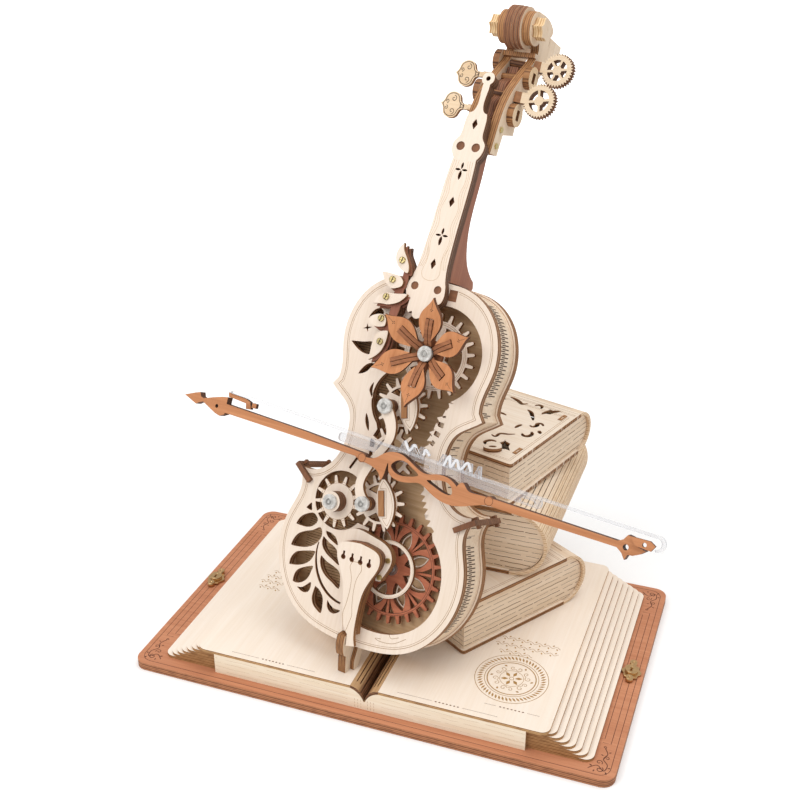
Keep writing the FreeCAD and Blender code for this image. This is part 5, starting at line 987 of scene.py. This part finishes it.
# Pages: rosette seal, running vine ornament and thin rules; a row runs from one x to another at a y

SEAL = (61.0, -37.0)
VINES = ((49, 77, -9.0), (47, 77, -14.0), (50, 66, -19.0), (-76, -60, 2.5), (-78, -58, -2.2),
         (-79, -57, -6.9), (-78, -66, -11.6))
RULES = ((16, 62, -63.5), (-66, -24, -63.5), (54, 79, -57.0))


def engrave_pages():
    top = PAGE_TOP + LIFT
    gold = Engraving(TABLE)
    for radius, width in ((16.6, 0.3), (12.2, 0.28), (11.0, 0.5)):
        gold.circle(SEAL, radius, top, width)
    for k in range(54):
        turn = 360.0 * k / 54
        gold.leaf(polar(SEAL, 13.0, turn), 3.0, turn + 28, top, 0.17)
    for k in range(6):
        turn = 60.0 * k + 15
        gold.curl(polar(SEAL, 7.4, turn), 1.6, turn + 120, 1, top, 0.28)
        gold.curl(polar(SEAL, 7.4, turn + 24), 1.3, turn + 260, -1, top, 0.26)
        gold.leaf(polar(SEAL, 1.4, turn), 3.6, turn, top, 0.24)
        gold.leaf(polar(SEAL, 8.6, turn + 42), 1.8, turn + 90, top, 0.3)
    gold.circle(SEAL, 1.0, top, 0.3)
    gold.circle(SEAL, 5.4, top, 0.22)
    gold.place("page_seal", line_gold)

    vine = Engraving(TABLE)
    for x0, x1, y in VINES:
        wave = [(x0 + (x1 - x0) * k / 60.0, y + 0.7 * math.sin(k * (x1 - x0) / 60.0 * 1.5))
                for k in range(61)]
        vine.stroke(wave, top, 0.24)
        count = int((x1 - x0) / 2.09)
        for k in range(count):
            x = x0 + 1.05 + 2.09 * k
            vine.leaf((x, y + (0.5 if k % 2 else -0.5)), 1.5, 60 if k % 2 else -60, top, 0.3)
    vine.place("page_vine", line_gold)

    rules = Engraving(TABLE)
    for x0, x1, y in RULES:
        middle = (x0 + x1) / 2.0
        for a, b in ((x0, middle - 7), (middle + 7, x1)):
            rules.stroke([(a, y), (b, y)], top, 0.16)
        for k in range(-3, 4):
            rules.leaf((middle + 1.7 * k - 0.6, y), 1.2, 0, top, 0.35)
    rules.place("page_rules", line_brown)


# Gutter and front panels

def engrave_panels():
    grain = Engraving(FRONT)
    front = PANEL_FACE + LIFT
    for side in (-1, 1):
        near, far = 1.2 + side * 8.0, 75.0 if side > 0 else -73.5
        for k in range(4):
            y = 5.6 + 2.4 * k
            x = near
            while abs(x - near) < abs(far - near):
                step = side * (8 + 16 * chance.random())
                stop = x + step if abs(x + step - near) < abs(far - near) else far
                points = [(x + (stop - x) * j / 8.0, y + 0.12 * math.sin(x + j)) for j in range(9)]
                grain.stroke(points if side > 0 else points[::-1], front, 0.1)
                x = stop + side * (1.5 + 4 * chance.random())
        for k in range(3):
            x = 1.2 + side * (1.6 + 1.5 * k)
            for y in (4.6, 6.4, 8.2):
                grain.stroke([(x, y), (x, y + 1.2)], front, 0.16)
    grain.place("panel_grain", line_faint)


# Books: page lines on the block's walls, border lines on the covers

def page_lines(lines, reach, height, rows):
    """Broken level lines; reach gives a row's two ends."""
    for k in range(rows):
        y = SHEET + (height - 2 * SHEET) * (k + 0.5) / rows
        x, last = reach(y)
        while x < last - 1:
            stop = min(last, x + 3 + 15 * chance.random())
            parts = max(2, int((stop - x) / 1.5))
            points = [(x + (stop - x) * j / parts, y + 0.1 * math.sin(1.3 * (x + j) + k))
                      for j in range(parts + 1)]
            heavy = chance.random() < 0.3
            lines.stroke(points, LIFT, 0.34 if heavy else 0.2)
            x = stop + 0.4 + 2.2 * chance.random()


def engrave_books():
    for key, (book, width, length, height) in BOOKS.items():
        bulge = height / 2 - 1.9
        rows = int((height - 2 * SHEET) / 2.4)

        def nose(y):
            return width + math.sqrt(max(0.0, bulge * bulge - (y - height / 2) ** 2)) - 0.3
        for wall, at, reach in (("head", plane((0, 1.5, 0), 0, 90), lambda y: (1.6, nose(y))),
                                ("tail", plane((0, length - 1.5, 0), 180, 90), lambda y: (-nose(y), -1.6)),
                                ("fore", plane((1.5, 0, 0), -90, 90), lambda y: (-length + 1.7, -1.7))):
            lines = Engraving(book @ at)
            page_lines(lines, reach, height, rows)
            lines.place("book_%s_%s_lines" % (key, wall), line_brown)
        cover = Engraving(book)
        top = height + LIFT
        for gap in (2.4, 3.4):
            right, back = width - 5 - gap, length - gap
            frame_line = refined([(gap, gap), (right, gap), (right, back), (gap, back)], 3.0)
            cover.stroke(frame_line, top, 0.2, True)
        for inset in (4.6, 3.6, 1.4):
            cover.stroke([(width - inset, 0.6), (width - inset, length - 0.6)], top, 0.2)
        cover.place("book_" + key + "_cover_lines", line_tan)


# Cello body: border lines, hinge cuts in the bent sides, hatching behind the leaf openings

# The bent sides are cut along these stretches of y, by turns near the front and near the back
HINGE = ((27.0, 76.0), (-14.0, 20.0), (-70.0, -20.0))
HINGE_FRONT = (-11.6, -4.7)
HINGE_BACK = (-15.2, -8.3)
HINGE_PITCH = 0.9
HINGE_WIDTH = 0.5
# Hatched panels: from x, to x, from y, to y
HATCHED = ((-42, -10, -80, -34), (-36, -12, 24, 66))


def engrave_body():
    lines = Engraving(CELLO)
    trace_edge(lines, "front_plate", 0.0, (2.3, 0.24), (3.1, 0.16))
    for points in (((27.5, -75.5), (22.0, -79.4), (16.0, -80.6), (12.5, -80.0), (15.5, -79.4)),
                   ((24.0, -76.0), (20.5, -77.6), (19.0, -76.2))):
        lines.stroke(smooth(points), LIFT, 0.22)
    lines.place("front_lines", line_tan)
    back = Engraving(CELLO)
    trace_edge(back, "back_plate", BACK_FACE, (0.9, 0.22))
    back.place("back_lines", line_tan)

    outline = boundary("back_plate", CELLO, BACK_FACE, 0.4)[0]
    # Hinge slits drawn as dark marks on the bent sides: painted shade of the hollow behind each slit, with
    # the burn of its kerf
    cuts = Engraving(CELLO)
    travelled = 0.0
    index = 0
    side = inset_runs(outline, 1.3 - 2 * LIFT, [outline])[0]
    for one, two in zip(side, side[1:]):
        size = math.dist(one, two) or 1e-9
        along = ((two[0] - one[0]) / size, (two[1] - one[1]) / size)
        while travelled < size:
            at = (one[0] + along[0] * travelled, one[1] + along[1] * travelled)
            if any(low < at[1] < high for low, high in HINGE):
                low, high = HINGE_FRONT if index % 2 else HINGE_BACK
                cuts.cut(at, along, low, high, HINGE_WIDTH)
            index += 1
            travelled += HINGE_PITCH
        travelled -= size
    cuts.place("hinge_cuts", line_dark_and_slot_shade)

    hatch = Engraving(CELLO)
    for left, right, y, last in HATCHED:
        while y < last:
            edge = 40.0 * math.sqrt(max(0.0, 1 - ((y + 45) / 40.0) ** 2)) if y < 0 else 36.0
            start = max(left, -edge)
            points = [(start + (right - start) * j / 8.0, y + 0.2 * math.sin(0.7 * y + j)) for j in range(9)]
            hatch.stroke(points, DEPTH_FACE + LIFT, 0.22)
            y += 1.15
    hatch.place("depth_hatch", line_brown)
    add_rings("lyre_lines", line_faint, BACKING_FACE, 0.14, ((9.9, -49.0), 12.6))


def add_rings(name, material, face, width, *circles, body="base", slot="cream_wood"):
    """Circles on one face, each given by its middle and radius."""
    rings = Engraving(CELLO)
    for middle, radius in circles:
        rings.circle(middle, radius, face + LIFT, width)
    rings.place(name, material, body, slot)


# Tailpiece and fingerboard

def engrave_tail():
    half = ((0.0, 38.6), (2.2, 38.0), (3.0, 35.6), (2.1, 33.2), (1.2, 30.2), (1.0, 25.0), (1.5, 19.0),
            (2.3, 14.6), (1.7, 11.0), (0.6, 6.4))
    lines = Engraving(TAIL)
    for side in (1, -1):
        lines.stroke(smooth([(side * x, y) for x, y in half]), SHEET + LIFT, 0.2)
    lines.place("tail_lines", line_tan)


def board_half(y):
    """Half width of the fingerboard's face at a height."""
    stops = ((4.0, 7.6), (10.0, 7.0), (30.0, 6.5), (57.0, 5.7), (60.0, 5.7))
    for (y0, w0), (y1, w1) in zip(stops, stops[1:]):
        if y <= y1:
            return w0 + (w1 - w0) * (y - y0) / (y1 - y0)
    return stops[-1][1]


def engrave_board():
    waves = Engraving(BOARD)
    for side in (-1, 1):
        for k in range(3):
            points = []
            for j in range(91):
                y = 6.0 + 50.0 * j / 90.0
                swell = 0.5 + 0.5 * math.sin((y - 8.0) / 14.4 * 2 * math.pi)
                points.append((side * (board_half(y) - 0.7 - 0.75 * k - swell * (0.5 + 0.35 * k)), y))
            waves.stroke(points, LIFT, 0.14)
    loop = [(-4.9, 15.5), (-4.0, 12.0), (-3.6, 9.0), (-4.2, 6.0), (-4.4, 3.4), (-3.0, 1.2), (0.0, 0.4)]
    waves.stroke(smooth(loop + [(-x, y) for x, y in reversed(loop[:-1])]), LIFT, 0.16)
    waves.place("board_waves", line_faint)


# Gears and cranks

def engrave_gears():
    add_rings("gear_left_rings", line_tan, LEFT_FACE, 0.16, (GEAR_LEFT, 8.3), (GEAR_LEFT, 9.2),
              body="gear_left")
    add_rings("flower_gear_rings", line_tan, FLOWER_FACE, 0.16, (FLOWER, 14.1), (FLOWER, 14.9),
              body="flower")
    add_rings("rosette_rings", line_red, ROSETTE_FACE, 0.2, (ROSETTE, 20.0), (ROSETTE, 20.9), body="rosette",
              slot="red_wood")
    for body in ("crank_low", "crank_up"):
        edge = Engraving(CELLO)
        trace_edge(edge, body, CRANK_FACE, (0.9, 0.16))
        edge.place(body + "_lines", line_tan, body)


PETAL_START = 27.5
PETAL_TILT = 14.0


def engrave_petals():
    for k in range(6):
        at = (CELLO @ plane((*FLOWER, 0), PETAL_START + 60 * k) @ plane((5.5, 0, 7.6))
              @ Matrix.Rotation(math.radians(-PETAL_TILT), 4, "Y"))
        marks = Engraving(at)
        z = SHEET + LIFT
        for heading in (0, 90, 180, 270):
            marks.leaf(polar((14.4, 0), 0.15, heading), 0.75, heading, z, 0.3)
        marks.stroke(smooth([(15.4, 0.1), (16.6, -0.1), (17.8, 0.0)]), z, 0.14)
        marks.place("petal_marks_%d" % k, line_dark_and_slot_shade, "flower", "amber_wood")


def engrave_bow():
    add_rings("bow_rings", line_red, BOW_FACE, 0.2, ((-8.3, -2.3), 1.9), ((55.3, -4.5), 1.9), body="bow",
              slot="amber_wood")


def engrave_pegs():
    """Edge line, two pairs of curls and two bars on each ornate peg head."""
    for name, face in (("up", -27.9), ("low", -20.5)):
        z = face + LIFT
        loops = [loop for loop in boundary("pegs_left", CELLO, face) if min(p[0] for p in loop) < -14]
        lines = Engraving(CELLO)
        for run in inset_runs(loops[0], 0.75, loops, 0.2):
            run = [p for p in run if p[0] < -15.5]
            if len(run) > 3:
                lines.stroke(run, z, 0.32)
        x = min(p[0] for p in loops[0]) + 6.0
        y = sum(p[1] for p in loops[0]) / len(loops[0])
        for side in (-1, 1):
            lines.curl((x + 0.6, y + side * 2.9), 1.5, 90 * side, -side, z, 0.32)
            lines.curl((x - 2.6, y + side * 1.5), 1.0, -90 * side, side, z, 0.3)
        for off in (4.6, 6.2):
            lines.stroke([(x + off, y - 1.4), (x + off, y + 1.4)], z, 0.4)
        lines.place("peg_lines_" + name, line_dark_and_slot_shade)


for make in (cut_front, cut_sprig, cut_cover, shape_clasps, cut_board, cut_rosette, add_caps, slot_screws,
             add_waves, engrave_pegs, engrave_base, engrave_pages, engrave_panels, engrave_books,
             engrave_body, engrave_tail, engrave_board, engrave_gears, engrave_petals, engrave_bow):
    make()


# Camera of the photograph

CAMERA_AT = Vector((158.874, -446.642, 362.187)) * MM
CAMERA_RIGHT = Vector((0.93795, 0.34677, 0.0))
CAMERA_UP = Vector((-0.15345, 0.41505, 0.89677))
CAMERA_BACK = Vector((0.31097, -0.84113, 0.44251))
FOCAL_PIXELS = 1173.17
FRAME_PIXELS = 800
SENSOR = 36.0


def make_camera():
    data = bpy.data.cameras.new("camera")
    data.sensor_width = SENSOR
    data.lens = FOCAL_PIXELS / FRAME_PIXELS * SENSOR
    data.clip_start = 0.01
    camera = bpy.data.objects.new("camera", data)
    bpy.context.scene.collection.objects.link(camera)
    turn = Matrix((CAMERA_RIGHT, CAMERA_UP, CAMERA_BACK)).transposed().to_4x4()
    camera.matrix_world = Matrix.Translation(CAMERA_AT) @ turn
    bpy.context.scene.camera = camera


def area_light(name, at, aim, size, power, colour=(1, 1, 1)):
    data = bpy.data.lights.new(name, "AREA")
    data.shape = "SQUARE"
    data.size = size
    data.energy = power
    data.color = colour
    lamp = bpy.data.objects.new(name, data)
    bpy.context.scene.collection.objects.link(lamp)
    lamp.location = at
    lamp.rotation_euler = (Vector(aim) - Vector(at)).to_track_quat("-Z", "Y").to_euler()


# Light from all round, watts of the two lamps, half the floor's side in metres, and the part of the floor's
# glow that is left near the object
FILL = 0.64
KEY_POWER = 6.0
TOP_POWER = 6.2
FLOOR_HALF = 9.0
FLOOR_GLOW_NEAR = 0.1


def make_studio():
    world = bpy.data.worlds.new("studio")
    bpy.context.scene.world = world
    sky = Shader(world, "OutputWorld")
    fill = sky.add("Background", {"Color": (1.0, 0.995, 0.99, 1), "Strength": FILL})
    white = sky.add("Background", {"Color": (1, 1, 1, 1), "Strength": 1.0})
    sky.end_with(sky.add("MixShader", {0: sky.seen(), 1: fill.outputs[0], 2: white.outputs[0]}))

    area_light("key", (-0.55, -0.75, 1.05), (0, 0, 0.1), 0.7, KEY_POWER, (1.0, 0.99, 0.975))
    area_light("top", (0.25, 0.1, 1.2), (0, 0, 0.05), 0.9, TOP_POWER)

    shader = Shader("floor")
    diffuse = shader.add("BsdfDiffuse", {"Color": (0.9, 0.9, 0.9, 1)})
    glow = shader.add("Emission", {"Color": (1, 1, 1, 1)})
    coords = shader.add("TexCoord")
    away = shader.add("VectorMath", {0: coords.outputs["Object"]}, operation="LENGTH")
    reach = shader.add("MapRange", {"Value": away.outputs["Value"], "From Min": 0.2, "From Max": 0.9,
                                    "To Min": FLOOR_GLOW_NEAR, "To Max": 1.0})
    shader.put(glow.inputs["Strength"], shader.math("MULTIPLY", shader.seen(), reach.outputs[0]))
    corners = [(x, y, 0) for x, y in rectangle(0, 0, FLOOR_HALF, FLOOR_HALF)]
    mesh = mesh_of("floor", corners, [(0, 1, 2, 3)])
    both = shader.add("AddShader", {0: diffuse.outputs[0], 1: glow.outputs[0]})
    mesh.materials.append(shader.end_with(both))
    floor = bpy.data.objects.new("floor", mesh)
    bpy.context.scene.collection.objects.link(floor)
    bpy.context.scene.view_settings.view_transform = "Standard"


make_camera()
make_studio()
